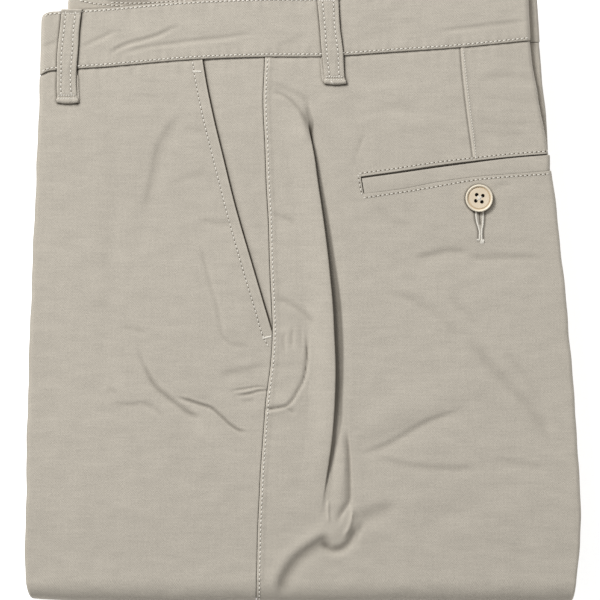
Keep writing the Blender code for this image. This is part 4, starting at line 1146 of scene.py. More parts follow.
@dataclass(frozen=True)
class BackPanel(Panel):
    """The left back, with the deep fold, the dart and the opening for the welt pocket."""

    @cached_property
    def rows(self) -> tuple[Array, Array, Array]:
        """Shares of the rows above the slit, in the welt's dip and below it.

        They are worked out in millimetres, of about 68 above the slit and 240 below the welt.
        """
        near = np.array([0.0, 0.12, 0.35, 0.7, 1.2, 1.9, 2.8])
        above = np.concatenate([WAIST_STEPS, np.linspace(6.0, 64.0, 42), 68.0 - near[::-1]]) / 68.0
        below = np.concatenate([near, paced(
            (4.2, 55.0, 34), (55.0, 90.0, 26), (90.0, 140.0, 66), (140.0, 188.0, 42),
            (188.0, 224.0, 46), (224.0, 240.0, 13))]) / 240.0
        return above, np.linspace(0.0, 1.0, 9), below

    @cached_property
    def weights(self) -> Array:
        """Rows ease from the waist to the slit, to the welt's base and to the thigh fold."""
        above, welt, below = self.rows
        gone = [np.zeros(len(part)) for part in self.rows]
        return np.concatenate([
            np.stack([1 - above, above, gone[0], gone[0]], axis=-1),
            np.stack([gone[1], 1 - welt, welt, welt - 0.5], axis=-1),
            np.stack([gone[2], gone[2], 1 - below, STACK.fold_radius * below], axis=-1)])

    @property
    def dip(self) -> Array:
        """Only the welt's rows are let in."""
        return np.repeat([0.0, WELT_DIP, 0.0], [len(part) for part in self.rows])

    @cached_property
    def plain(self) -> Array:
        """Columns across the deep fold, as distances from its line."""
        return np.concatenate([
            np.linspace(-16.0, -8.0, 9, endpoint=False), np.linspace(-8.0, 7.0, 38, endpoint=False),
            np.linspace(7.0, 10.0, 5)])

    @cached_property
    def counts(self) -> tuple[int, ...]:
        """How many columns each stretch has, from the side seam to the crease."""
        return 6, 22, len(self.plain), 12, 7, 38, 16, 28

    @cached_property
    def stretches(self) -> list[slice]:
        """The columns of each stretch."""
        cuts = np.cumsum((0,) + self.counts)
        return [slice(a, b) for a, b in zip(cuts[:-1], cuts[1:])]

    @property
    def welt_column(self) -> int:
        """The column at the welt's end, in the middle of its stretch."""
        return self.stretches[4].start + 3

    def upper(self, up: Array) -> tuple[Array, Array]:
        """Seam, deep fold, welt end, dart and crease, with columns close together at each."""
        seam = TOP_RUN.smooth("seam", up) + SEAM_GAP
        fold, dart = TOP_RUN.smooth("fold", up), DART.smooth("x", up)
        welt = WELT_END.straight("x", up)
        x = np.empty_like(up)

        def spread(stretch: int, low: Array, high: Array, first: float = 1.0, open_end: int = 1) -> None:
            """Lay a stretch from one line to another, its first step `first` times the mean one."""
            part = self.stretches[stretch]
            count = self.counts[stretch]
            t = np.arange(1, count + 1) / (count + open_end)
            x[:, part] = low[:, part] + (high - low)[:, part] * t * (first + (1 - first) * t)

        for stretch, line, offsets in ((0, seam, NEAR_SEAM), (4, welt, NEAR_WELT), (6, dart, NEAR_DART)):
            part = self.stretches[stretch]
            x[:, part] = line[:, part] + offsets
        spread(1, seam + NEAR_SEAM[-1], fold + self.plain[0])
        spread(3, fold + self.plain[-1], np.full_like(up, WELT_X - 3.2))
        spread(5, welt + NEAR_WELT[-1], dart + NEAR_DART[0], 1.45)
        spread(7, dart + NEAR_DART[-1], self.start(STACK.fold_radius - up), 0.6, open_end=0)
        part = self.stretches[2]
        x[:, part] = fold[:, part] + self.plain
        flat = x.copy()
        overhang = FOLD_PROFILE.smooth("face", self.plain) - self.plain
        x[:, part] += overhang * ease(TOP_RUN.smooth("strength", up[:, part]) * 1.6)
        return x, flat

    def past_shares(self) -> Array:
        """The columns' shares where the top run ends."""
        up = np.full((1, sum(self.counts)), STACK.fold_radius)
        _, x = self.upper(up)
        return (x[0] - x[0, 0]) / (x[0, -1] - x[0, 0])

    def darted(self, x: Array, up: Array) -> tuple[Array, Array]:
        """How far right of the dart each point lies, and 1 where the dart is sewn, 0 below it."""
        return x - DART.smooth("x", up), ease((up - DART_END) / 4.0)

    def plain_height(self, x: Array, up: Array) -> Array:
        """The relief with the seam allowance, the dart and the pressed edge over the slit."""
        distance = x - TOP_RUN.smooth("seam", up) - SEAM_GAP
        height = TOP_RELIEF.height(x, up) + waist_dip(LEFT_WAIST.smooth("up", x) - up, x)
        height += 0.34 * (1 - ease((distance - 2.6) / 2.2))
        height -= 0.16 * bell((distance - 1.5) / 0.5)
        height += 0.7 * seam_pucker(distance - 1.5, up, 6.1, 3.6)
        from_dart, dart = self.darted(x, up)
        height -= dart * 0.5 * bell(from_dart / 0.5)
        height += dart * 0.30 * bell((from_dart - 2.0) / 1.5)
        over_slit = up - WELT.smooth("slit", x)
        pressed = (over_slit > -0.3) * ease((x - WELT_X + 0.5) / 2.0)
        return height + 0.25 * pressed * bell(over_slit / 2.4)

    def shade(self, x: Array, up: Array) -> Array:
        """Also painted shadow behind the deep fold's edge, in the dart, the pocket's slit and round the
        button, and painted highlight beside the dart and along the seam.

        Behind the fold the painted shadow grows a little with the distance from the edge that hangs
        over it, and ends at the table's reach.
        """
        fold = self.stretches[2]
        shade = super().shade(x, up)
        # painted shadow behind the deep fold's overhanging edge
        out = np.maximum(FOLD_PROFILE.smooth("face", self.plain) - 0.45, 0.0)
        out = np.where(self.plain < 2.2, 0.0, out)
        reach = TOP_RUN.smooth("reach", up[:, fold])
        behind = (0.5 + 0.15 * ease(out / 2.0)) * ease((reach - out) / 1.5) * ease(self.plain - 0.4)
        shade[:, fold] += behind * TOP_RUN.smooth("dark", up[:, fold])
        from_dart, dart = self.darted(x, up)
        # painted shade in the dart's line and a painted highlight beside it
        shade += dart * (0.40 * bell(from_dart / 0.42) - 0.4 * bell((from_dart - 1.0) / 0.5))
        from_seam = x - TOP_RUN.smooth("seam", up)
        # painted highlight along the back panel's edge at the side seam
        shade -= 0.50 * bell((from_seam - 0.75) / 0.5)
        # painted shadow round the button, darkest at its lower left
        away = np.hypot(x - BUTTON_X, up - BUTTON_UP)
        lower_left = (BUTTON_X - x + BUTTON_UP - up) / np.maximum(away, 1.0) / math.sqrt(2)
        shade += 0.36 * (1 + lower_left) * bell((away - BUTTON_RADIUS + 0.1) / 0.85)
        above, welt, _ = self.rows
        slit = slice(len(above), len(above) + len(welt))
        # painted shade in the pocket's slit
        shade[slit, self.welt_column:] += 1.0 * (welt < 0.2)[:, None]
        shade[len(above) - 1, self.welt_column:] += 0.9
        return shade

    def rise(self, x: Array, up: Array, inside: bool) -> Array:
        """The plain height, the deep fold and the rounded edges."""
        seam = TOP_RUN.smooth("seam", up) + SEAM_GAP
        foot = TOP_RUN.smooth("fold", up) + self.plain[0]
        profile = FOLD_PROFILE.smooth("inside" if inside else "height", self.plain)
        share = np.zeros(x.shape)
        share[:, self.stretches[2]] = profile
        lead = slice(0, self.stretches[2].start)
        share[:, lead] = profile[0] * ease((x - seam)[:, lead] / (foot - seam)[:, lead])
        height = self.plain_height(x, up)
        height += share * TOP_RUN.smooth("strength", up) * FOLD_HEIGHT
        above, welt, below = self.rows
        end = slice(self.welt_column, None)
        if not inside:
            height -= edge_roll(x - seam, 0.25)
            over = (up - WELT.smooth("slit", x))[:len(above), end]
            under = (WELT.smooth("base", x) - up)[-len(below):, end]
            height[:len(above), end] -= edge_roll(over, 0.35)
            height[-len(below):, end] -= 0.3 * edge_roll(under, 0.5)
        sunk = WELT_DIP + 1.2 * (welt < 0.2)[:, None] * ease((150.0 - x[0, end]) / 8.0)
        height[len(above):len(above) + len(welt), end] -= sunk
        return height


# ---------------- pieces sewn to the panels


@dataclass(frozen=True)
class PocketFacing:
    """The cloth behind the slanted pocket edge, from under that edge to the side seam."""

    name: str = "pocket_facing"
    tuck: float = 5.0             # how far it runs in under the pocket edge
    end_up: float = 156.0         # where it ends, a little below the pocket
    wall: float = 0.7
    row_length: float = 168.0     # from the waist seam to its end, about
    plan_shift: float = 3.7       # its twill's place, off the front panel's
    cut: Cut = Cut((0.046, 0.170), 0.0048, "front_left")

    def depth(self, x: Array, up: Array) -> Array:
        """It lies under the pocket edge, deeper towards the pocket's lower end."""
        from_edge = np.maximum(x - SLANT.smooth("x", up), 0.0)
        lowest = 1.15 + 0.35 * ease((300.0 - up) / 110.0)
        from_seam = TOP_RUN.smooth("seam", up) - x
        drop = 0.42 + (lowest - 0.42) * bell(from_edge / 3.6)
        closing = ease(from_seam / 3.0)
        drop = drop * closing + 0.25 * (1 - closing)
        below = LEFT_WAIST.smooth("up", x) - up
        relief = TOP_RELIEF.height(x, up) * (0.35 + 0.65 * ease(from_edge / 9.0)) + waist_dip(below, x)
        return drop - STACK.top_loft(up) - relief + seam_dip(from_seam - SEAM_GAP)

    def make(self, finish: Material) -> None:
        """Build the facing and dress its node."""
        rows = np.concatenate([WAIST_STEPS, np.linspace(6.0, self.row_length, 150)])
        share = (rows / self.row_length)[:, None]
        near = np.array([0.0, 0.3, 0.52, 0.59, 0.625, 0.655, 0.69, 0.735, 0.79, 0.88, 1.0])
        far = np.concatenate([np.linspace(0.0, 0.92, 20)[1:], [0.955, 0.975, 0.99, 1.0]])
        middle_x = -42.0          # a first guess, as its place along the waist seam sets `up`
        x = np.full((len(share), len(near) + len(far)), middle_x)
        for _ in range(4):
            waist = LEFT_WAIST.smooth("up", x)
            up = waist + (self.end_up - waist) * share
            left = SLANT.smooth("x", up) - self.tuck
            wide = TOP_RUN.smooth("seam", up) - SEAM_GAP - left
            tucked = np.minimum(8.0, 0.9 * wide)
            x = (left + tucked * np.append(near, np.ones(len(far)))
                 + (wide - tucked) * np.append(np.zeros(len(near)), far))
        depth = self.depth(x, up)
        run = STACK.fold_radius - up
        from_edge = np.maximum(x - SLANT.smooth("x", up), 0.0)
        # painted shadow under the pocket edge, with the creases' painted shade
        shade = TOP_RELIEF.shade(x, up) + 0.9 * bell(from_edge / 0.75) + 0.2 * bell(from_edge / 2.2)
        sheet = Sheet(
            STACK.place(x, run, depth), STACK.place(x, run, depth + self.wall),
            np.stack([x + self.plan_shift, up], axis=-1), shade)
        self.cut.dress(self.name, [sheet], finish)


@dataclass(frozen=True)
class PocketWelt:
    """The welt of the back pocket, in the back panel's dip and round the crease."""

    name: str = "pocket_welt"
    wall: float = 0.9
    crease_up: float = 261.0      # where it goes round the crease
    plan_shift: tuple[float, float] = (5.3, 2.1)   # its twill's place, off the back panel's
    cut: Cut = Cut((0.118, 0.010), 0.00115, "back_left")

    def top(self, x: Array) -> Array:
        """The welt's folded upper edge, which leaves a slit that narrows to the crease."""
        return WELT.smooth("slit", x) - 0.88 - 0.25 * bell((x - 80.0) / 25.0) + 0.3 * ease(
            (x - 90.0) / 40.0)

    def make(self, finish: Material) -> None:
        """Build the welt and dress its node."""
        share = np.array([0.0, 0.03, 0.08, 0.16, 0.28, 0.42, 0.56, 0.70, 0.82, 0.91, 0.97, 1.0])
        loft = float(STACK.top_loft(np.array(self.crease_up)))
        radius, middle = (STACK.layer + loft) / 2, (STACK.layer - loft) / 2
        start = float(TOP_RUN.smooth("back", self.crease_up)) - radius
        ply = np.concatenate([
            WELT_X + np.array([0.1, 0.3, 0.8, 1.5]), np.linspace(WELT_X + 2.6, start, 66)])
        angles = np.radians(np.linspace(0.0, 130.0, 11)[1:])
        x = np.concatenate([ply, start + radius * np.sin(angles)])
        plan_x = np.concatenate([ply, start + radius * angles])
        top, base = self.top(x), WELT.smooth("base", x) + 0.08
        up = top + (base - top) * share[:, None]
        across = x + (WELT_END.straight("x", up) - WELT_X) * (1 - ease((x - WELT_X) / 14.0))
        rise = TOP_RELIEF.height(across, up)
        roll = edge_roll(top - up, 0.55) + edge_roll(up - base, 0.3) * 0.4
        roll += edge_roll(x - WELT_X - 0.1, 0.2)
        swell = 0.15 * np.sin(np.pi * np.clip((top - up) / (top - base), 0, 1))
        nose = np.concatenate([np.zeros(len(ply)), angles])
        grids = []
        for inset, rolled in ((0.0, 1.0), (self.wall, 0.0)):
            depth = inset - STACK.top_loft(up) - rise - swell + rolled * roll
            reach = radius - inset + (swell - rolled * roll)
            bent_x = np.where(nose > 0, start + reach * np.sin(nose), across)
            bent_depth = np.where(nose > 0, middle - reach * np.cos(nose), depth)
            grids.append(STACK.place(bent_x, STACK.fold_radius - up, bent_depth))
        plan = np.stack([np.tile(plan_x, (len(share), 1)), up], axis=-1) + self.plan_shift
        self.cut.dress(self.name, [Sheet(grids[0], grids[1], plan)], finish)


@dataclass(frozen=True)
class RightLeg:
    """The right leg, all inside the left one: a flattened tube of cloth that takes its folds."""

    name: str = "right_leg"
    wall: float = 0.8
    columns: int = 56             # across either ply
    rows: int = 90                # on the top run
    top: float = 327.0            # `up` of its upper end at the creases, about
    over_seam: float = 0.14       # from the waist seam up to its upper end
    cut: Cut = Cut((0.62, 1.02), 0.56, "front_left")

    def section(self, front: Array, back: Array) -> list[tuple[Array, Array]]:
        """Once round the tube, x and depth of its outside and of its inside."""
        radius = STACK.layer / 2
        angles = np.linspace(0.0, math.pi, 11)[1:-1]
        flat = np.linspace(0.0, 1.0, self.columns)
        sides = []
        left, right = front[:, None] + radius, back[:, None] - radius
        for inset in (0.0, self.wall):
            reach = radius - inset
            x = np.concatenate([
                left + (right - left) * flat, right + reach * np.sin(angles),
                right + (left - right) * flat, left - reach * np.sin(angles)], axis=1)
            level, bend = np.full(self.columns, reach), reach * np.cos(angles)
            around = np.concatenate([level, bend, -level, -bend])
            depth = STACK.right_depth + radius - np.tile(around, (len(front), 1))
            sides.append((x, depth))
        return sides

    def make(self, finish: Material) -> None:
        """Build the leg and dress its node."""
        share = np.linspace(0.0, 1.0, self.rows)
        crease_up = self.top + (STACK.fold_radius - self.top) * share
        on_top = self.section(*(RIGHT_RUN.smooth(name, crease_up) for name in ("front", "back")))
        past = self.section(LEG_RUN.straight("front", PAST_RUNS) + RIGHT_INSET,
                            LEG_RUN.straight("back", PAST_RUNS) - RIGHT_INSET)
        grids = []
        for (x, depth), (past_x, past_depth) in zip(on_top, past):
            waist = RIGHT_WAIST.smooth("up", x) + self.over_seam
            up = waist + (STACK.fold_radius - waist) * share[:, None]
            ripple = 0.12 * np.sin(up / 6.3) * np.sin(x / 23.0)
            rows = STACK.place(x, STACK.fold_radius - up, depth + ripple)
            grids.append(np.concatenate([
                rows, STACK.place(past_x, PAST_RUNS[:, None], past_depth)]))
            runs = np.concatenate([up - STACK.fold_radius, -PAST_RUNS[:, None] + 0 * past_x])
        around = travelled(grids[0])
        plan = np.stack([around, runs], axis=-1)
        self.cut.dress(self.name, [Sheet(grids[0], grids[1], plan, round_trip=True)], finish)


@dataclass(frozen=True)
class Waistband:
    """One half of the waistband, folded at both creases and standing on its waist seam."""

    name: str
    waist: Table
    front: float                  # x of the front crease, at the lower edge and at the top
    front_top: float
    back: float                   # and of the back crease
    back_top: float
    face_z: float                 # level of the outer ply, and of the turned-in one
    back_z: float
    columns: int                  # across the outer ply
    relief: Relief
    cut: Cut
    tall: float = 35.4            # from its lower edge to its top edge
    clear: float = 0.2            # from the waist seam to its lower edge
    wall: float = 1.2
    turn_in: float = 75.0         # from a crease in to the centre front or centre back
    turned: int = 29              # columns of the turned-in ply, at either crease
    corner: float = 0.6           # the crease's rounding at the top edge

    @property
    def away(self) -> float:
        """1 where its outer ply faces up, -1 where it faces down."""
        return 1.0 if self.face_z > self.back_z else -1.0

    def edge(self, x: Array) -> Array:
        """The lower edge at each x."""
        return self.waist.smooth("up", x) + self.clear

    def creases(self, share: Array) -> tuple[Array, Array]:
        """x of the front and the back crease at each share of the way up."""
        return (self.front + (self.front_top - self.front) * share,
                self.back + (self.back_top - self.back) * share)

    def rise(self, x: Array, up: Array) -> Array:
        """Height of the outer ply over its plain level."""
        low = up - self.edge(x)
        high = self.tall - low
        height = self.relief.height(x, up)
        height += seam_pucker(low - 1.6, x, 6.0, 5.0) + seam_pucker(high - 1.3, x + 9.0, 6.6, 4.5)
        return height - 0.12 * bell((low - 1.7) / 0.6) - 0.12 * bell((high - 1.4) / 0.6)

    def make(self, finish: Material) -> None:
        """Build the half and dress its node."""
        low = np.array([0.0, 0.12, 0.35, 0.7, 1.1, 1.6, 2.2, 3.0, 4.2])
        rows = np.concatenate([
            low, np.linspace(5.0, self.tall - 5.0, 38), (self.tall - low)[::-1]])[:, None]
        share = rows / self.tall
        front, back = self.creases(share)
        front += self.corner * ease((share - 0.9) / 0.1) ** 1.5
        radius = abs(self.face_z - self.back_z) / 2
        middle = (self.face_z + self.back_z) / 2
        angles = np.linspace(0.0, math.pi, 13)[1:-1]
        plain = np.linspace(0.0, 1.0, self.columns)
        ends = np.linspace(0.0, 1.0, self.turned + 1)
        roll = edge_roll(rows, 0.8) + edge_roll(self.tall - rows, 0.9)
        nose = slice(self.turned, self.turned + len(angles))
        on_ply = slice(nose.stop, nose.stop + self.columns)
        grids = []
        for inset in (0.0, self.wall):
            rolled = roll if inset == 0.0 else -0.35 * roll
            left, right = front + radius, back - radius
            ply = left + (right - left) * plain
            reach = radius - inset - rolled
            start, stop = front + self.turn_in, back - self.turn_in
            x = np.concatenate([
                start + (left - start) * ends[:-1], left - reach * np.sin(angles), ply,
                right + reach * np.sin(angles), right + (stop - right) * ends[1:]], axis=1)
            up = self.edge(x) + rows
            rise = self.rise(ply, up[:, on_ply])
            under = (self.back_z + self.away * (inset + rolled)) * np.ones((len(rows), self.turned))
            first, last = rise[:, :1], rise[:, -1:]
            near = np.cos(angles / 2) ** 2
            z = np.concatenate([
                under,
                middle - self.away * (reach + first * near[::-1]) * np.cos(angles),
                self.face_z - self.away * (inset + rolled) + self.away * rise,
                middle + self.away * (reach + last * near) * np.cos(angles),
                under], axis=1)
            grids.append(np.stack([x, up, z], axis=-1))
        around = travelled(grids[0])
        plan = np.stack([around, np.repeat(rows, around.shape[1], axis=1)], axis=-1)
        # painted shadow along the top edge
        shade = 0.5 * bell((self.tall - rows) / 0.3) + np.zeros(grids[0].shape[:2])
        x, up = grids[0][..., 0], grids[0][..., 1]
        if self.away > 0:
            shade[:, on_ply] += (self.relief.shade(x, up) + painted_shade_beside_loops(x, up))[:, on_ply]
            # painted shade on the front crease's bend, painted highlight on the back one's
            shade[:, nose] += 0.2 * np.sin(angles) ** 2
            shade[:, on_ply.stop:-self.turned] -= 0.35 * np.sin(angles) ** 2
        else:
            shade[:, :self.turned] += self.relief.shade(x[:, :self.turned], up[:, :self.turned])
        self.cut.dress(self.name, [Sheet(grids[0], grids[1], plan, shade)], finish)

    def seam(self, from_edge: float, x0: float, x1: float, top: bool = False) -> StitchRow:
        """A row of stitches along the outer ply, a distance in from its lower or top edge."""
        x = np.linspace(x0, x1, 160)
        up = self.edge(x) + (self.tall - from_edge if top else from_edge)
        return StitchRow(np.stack([x, up], axis=-1), self.surface)

    def surface(self, x: Array, up: Array, lift: float) -> Array:
        """Points of the outer ply, lifted off it, and down round both creases."""
        front, back = self.creases((up - self.edge(x)) / self.tall)
        radius = abs(self.face_z - self.back_z) / 2
        drop = edge_roll(x - front, radius) + edge_roll(back - x, radius)
        height = self.rise(x, up) + lift - drop
        return np.stack([x, up, self.face_z + self.away * height], axis=-1)

    def behind(self, x: Array, up: Array, lift: float) -> Array:
        """Points of the turned-in ply, lifted off it."""
        level = self.back_z - self.away * lift
        return np.stack([x, up, np.full(np.shape(x), level)], axis=-1)


@dataclass(frozen=True)
class BeltLoop:
    """A strip over the waistband, sewn at its top edge and turned in under its lower end."""

    name: str
    line: Table                   # its middle from the waistband's top edge down
    panel_z: float                # the panel's level under it
    away: float                   # 1 on top, -1 on the underside
    rows_at: tuple[float, float] = (-3.1, 3.1)     # its rows of stitches, off its middle
    turning: float = 1.4          # how far the turned-in end shows beside it
    width: float = LOOP_WIDTH
    wall: float = 1.0
    upper_tack: float = 0.045     # where the upper bar tack lies, as a share of its length
    tack_share: float = 0.925     # where the two lower ones lie
    turned_from: float = 0.66     # where the turned-in end starts
    flare: float = 0.10           # how much wider it is at its rolled end, as a share
    loose_end: bool = False       # whether a thread's end hangs over its lower edge

    @property
    def reach(self) -> tuple[float, float]:
        """`up` of its top and its lower end."""
        ups = [row[0] for row in self.line.rows]
        return max(ups), min(ups)

    @property
    def length(self) -> float:
        """From its top to its lower end."""
        top, bottom = self.reach
        return top - bottom

    def rise(self, share: Array) -> Array:
        """Height of its face over the panel along its length.

        It lies level over the waistband, comes down past the band's edge, and swells over the
        turned-in end below the last bar tack.
        """
        down = np.interp(share, [0.0, 0.62, 0.76, 0.86, 1.0], [2.25, 2.25, 1.75, 1.55, 1.5])
        bump = 0.6 * bell((share - 0.968) / 0.024) + 0.3 * bell((share - 0.01) / 0.015)
        tack = 0.5 * bell((share - self.tack_share) / 0.018)
        tack += 0.45 * bell((share - self.upper_tack) / 0.012)
        return down + bump - tack

    def surface_at(self, offset: Array, share: Array) -> Array:
        """Points of its face: ridges at both edges, a groove at each row of stitches."""
        top, bottom = self.reach
        up = top + (bottom - top) * share
        lowest = 1.0 - 0.012 * (2 * offset / self.width) ** 2
        up = np.where(share > 0.97, top + (bottom - top) * share * lowest, up)
        wide = 1 + self.flare * ease((share - self.tack_share) / 0.04)
        wide += 0.5 * self.flare * ease((0.05 - share) / 0.04)
        x = self.line.smooth("x", up) + offset * wide + 0.18 * np.sin(up / 5.1) * np.sign(offset)
        grooves = sum(0.26 * bell((offset - at) / 0.75) for at in self.rows_at)
        edge = edge_roll(self.width / 2 - np.abs(offset), 0.75)
        ends = edge_roll((1.0 - share) * self.length, 0.9) + edge_roll(share * self.length, 0.5)
        uneven = 0.07 * np.sin(up / 2.1 + offset) + 0.05 * np.sin(up / 3.3 - 1.7 * offset)
        height = self.rise(share) + 0.12 - grooves - edge - ends + uneven
        return np.stack([x, up, self.panel_z + self.away * height], axis=-1)

    def make(self, finish: Material) -> None:
        """Build the loop with its turned-in end and dress its node."""
        half = self.width / 2
        inward = np.array([0.0, 0.1, 0.3, 0.6, 1.0, 1.6])
        offset = np.concatenate([inward - half, np.linspace(-half + 2.3, half - 2.3, 13),
                                 (half - inward)[::-1]])
        share = np.concatenate([[0.0, 0.002, 0.006, 0.012], np.linspace(0.02, 0.975, 70),
                                [0.982, 0.988, 0.993, 0.997, 1.0]])
        offsets, shares = np.meshgrid(offset, share)
        face = self.surface_at(offsets, shares)
        inside = face.copy()
        level = np.median(face[:, 4:-4, 2], axis=1, keepdims=True)
        inside[..., 2] = level - self.away * self.wall
        top, bottom = self.reach
        sheets = [Sheet(face, inside, np.stack([offsets, shares * self.length], axis=-1))]
        low = np.linspace(self.turned_from, 0.975, 26)
        offsets, shares = np.meshgrid(np.array([0.0, 0.1, 0.3, 0.6, 1.0, 2.0, 4.0]), low)
        shown = self.turning * ease((shares - self.turned_from) / 0.07) * ease((0.99 - shares) / 0.04)
        up = top + (bottom - top) * shares
        x = self.line.smooth("x", up) + np.sign(self.turning) * (half + np.abs(shown) - offsets)
        z = 0.75 - edge_roll(offsets, 0.5)
        under = np.stack([x, up, self.panel_z + self.away * z], axis=-1)
        base = under.copy()
        base[..., 2] = self.panel_z + self.away * 0.12
        sheets.append(Sheet(under, base, np.stack([offsets, up], axis=-1)))
        band = "waistband_left" if self.away > 0 else "waistband_right"
        Cut(LOOP_FLAT, LOOP_AREA, band).dress(self.name, sheets, finish)

    def stitch_rows(self) -> list[StitchRow]:
        """Its two rows along and the close stitches across at both ends."""
        top, bottom = self.reach

        def surface(offset: Array, up: Array, lift: float) -> Array:
            """Points of the loop's face from an offset and `up`, lifted off it."""
            points = self.surface_at(offset, (top - up) / self.length)
            points[..., 2] += self.away * lift
            return points

        up = top - np.linspace(0.02, self.tack_share + 0.015, 60) * self.length
        rows = [StitchRow(np.stack([np.full(60, at), up], axis=-1), surface)
                for at in self.rows_at]
        offset = np.linspace(-self.width / 2 + 0.7, self.width / 2 - 0.7, 30)
        for share in (self.upper_tack, self.tack_share - 0.014, self.tack_share + 0.018):
            across = np.stack([offset, np.full(30, top - share * self.length)], axis=-1)
            rows.append(StitchRow(across, surface, 1.5, 1.35, 0.3, lean=0.25, hole=0.0))
        if self.loose_end:
            end = np.array([[-2.4, bottom + 2.4], [-1.0, bottom - 0.4]])
            rows.append(StitchRow(end, surface, 3.0, 2.9, 0.3, hole=0.0))
        return rows


# ---------------- sewing


BAR_STEPS = np.array([0.0, 0.16, 0.5, 0.84, 1.0])
BAR_THICKNESS = np.array([0.45, 0.9, 1.0, 0.9, 0.45])


def footing(surface: Surface, flat: Array) -> tuple[Array, Array]:
    """The points of a surface at flat places, and the way out of it at each."""
    base = surface(flat[..., 0], flat[..., 1], 0.0)
    return base, unit(surface(flat[..., 0], flat[..., 1], 0.5) - base)


@dataclass(frozen=True)
class Thread:
    """Threads that lie on a surface from one point to another, as small rounded bars.

    `surface` turns a flat place and a lift into points in space.
    """

    start: Array
    end: Array
    surface: Surface
    radius: float = 0.30
    proud: float = 0.62           # how far the middle stands over the cloth, in radii
    sink: float = 1.15            # how far the ends go down from there, in radii

    def bars(self) -> Array:
        """Five rings of five points for each thread.

        The middle line is a parabola that stands over the cloth and dives under it at both ends.
        """
        flat = self.start[:, None] + (self.end - self.start)[:, None] * BAR_STEPS[:, None]
        lift = self.radius * (self.proud - self.sink * (2 * BAR_STEPS - 1) ** 2)
        base, out = footing(self.surface, flat)
        along = np.repeat((base[:, -1] - base[:, 0])[:, None], len(BAR_STEPS), axis=1)
        across = unit(np.cross(out, along))
        turns = np.linspace(0.0, math.tau, 5, endpoint=False) + math.pi / 2
        ring = (np.cos(turns)[:, None] * across[..., None, :]
                + 0.85 * np.sin(turns)[:, None] * out[..., None, :])
        centre = base + out * lift[:, None]
        return centre[..., None, :] + ring * (self.radius * BAR_THICKNESS)[:, None, None]


@dataclass(frozen=True)
class StitchRow:
    """A row of machine stitches along a line on a surface."""

    line: Array
    surface: Surface
    pitch: float = 2.7
    length: float = 1.95
    radius: float = 0.40
    lean: float = 0.10            # how far each stitch lies askew, as a share of its length
    hole: float = 0.38            # radius of the needle holes, none at 0

    def thread(self) -> Thread:
        """The stitches, one a pitch along the line, each a little askew."""
        points = self.surface(self.line[:, 0], self.line[:, 1], 0.0)
        reach = travelled(points)
        count = max(1, int(reach[-1] / self.pitch))
        middle = (np.arange(count) + 0.5) * self.pitch
        start, end = (along_line(self.line, middle + half, reach)
                      for half in (-self.length / 2, self.length / 2))
        askew = np.stack([start[:, 1] - end[:, 1], end[:, 0] - start[:, 0]], axis=-1) * self.lean
        return Thread(start - askew / 2, end + askew / 2, self.surface, self.radius)

    def holes(self) -> tuple[Array, Array]:
        """The middles of the needle holes between the stitches, and the way out of the cloth."""
        thread = self.thread()
        return footing(self.surface, (thread.end[:-1] + thread.start[1:]) / 2)


def satin(line: Array, width: float, surface: Surface, pitch: float = 0.42) -> Thread:
    """Close stitches across a line, as on a buttonhole's edge or a bar tack."""
    reach = travelled(line)
    at = np.arange(pitch / 2, reach[-1], pitch)
    behind, middle, ahead = (along_line(line, at + shift, reach) for shift in (-0.3, 0.0, 0.3))
    way = unit(ahead - behind)
    across = np.stack([-way[:, 1], way[:, 0]], axis=-1) * width / 2
    return Thread(middle - across, middle + across, surface, radius=0.24, proud=1.0, sink=1.3)


def sewn(name: str, threads: Sequence[Thread], finish: Material) -> bpy.types.Object:
    """One piece from all the threads of a part: their bars, closed at both ends."""
    bars = np.concatenate([thread.bars() for thread in threads])
    count, rings, sides = bars.shape[:3]
    index = np.arange(count * rings * sides).reshape(count, rings, sides)
    first, last = index[:, 0], index[:, -1]
    faces = np.concatenate([
        walls(index), cap(first, (3, 2, 1, 0)), cap(first, (4, 3, 0, 0)),
        cap(last, (0, 1, 2, 3)), cap(last, (0, 3, 4, 4))])
    points = bars.reshape(-1, 3)
    faces = outward_of_convex(points, faces, rings * sides)
    return make_object(name, points, faces, None, finish)


def walls(index: Array) -> Array:
    """The faces between the rings of small round forms, from point numbers by form and ring."""
    after = np.roll(index, -1, axis=2)
    quads = np.stack([index[:, :-1], after[:, :-1], after[:, 1:], index[:, 1:]], axis=-1)
    return quads.reshape(-1, 4)


def cap(ring: Array, corners: tuple[int, ...]) -> Array:
    """One face in the end ring of each form."""
    return np.stack([ring[:, i] for i in corners], axis=-1)


def outward_of_convex(points: Array, faces: Array, block: int) -> Array:
    """Turn round each face that looks towards the middle of its own small form.

    Args:
        points: The points of all forms, one form after the other.
        faces: The faces of all of them.
        block: How many points each form has.

    Returns:
        The faces, all looking outwards.
    """
    middles = points.reshape(-1, block, 3).mean(axis=1)
    corner = points[faces]
    normal = np.cross(corner[:, 1] - corner[:, 0], corner[:, 2] - corner[:, 0])
    away = corner.mean(axis=1) - middles[faces[:, 0] // block]
    inward = (normal * away).sum(axis=1, keepdims=True) < 0
    return np.where(inward, faces[:, [1, 0, 3, 2]], faces)


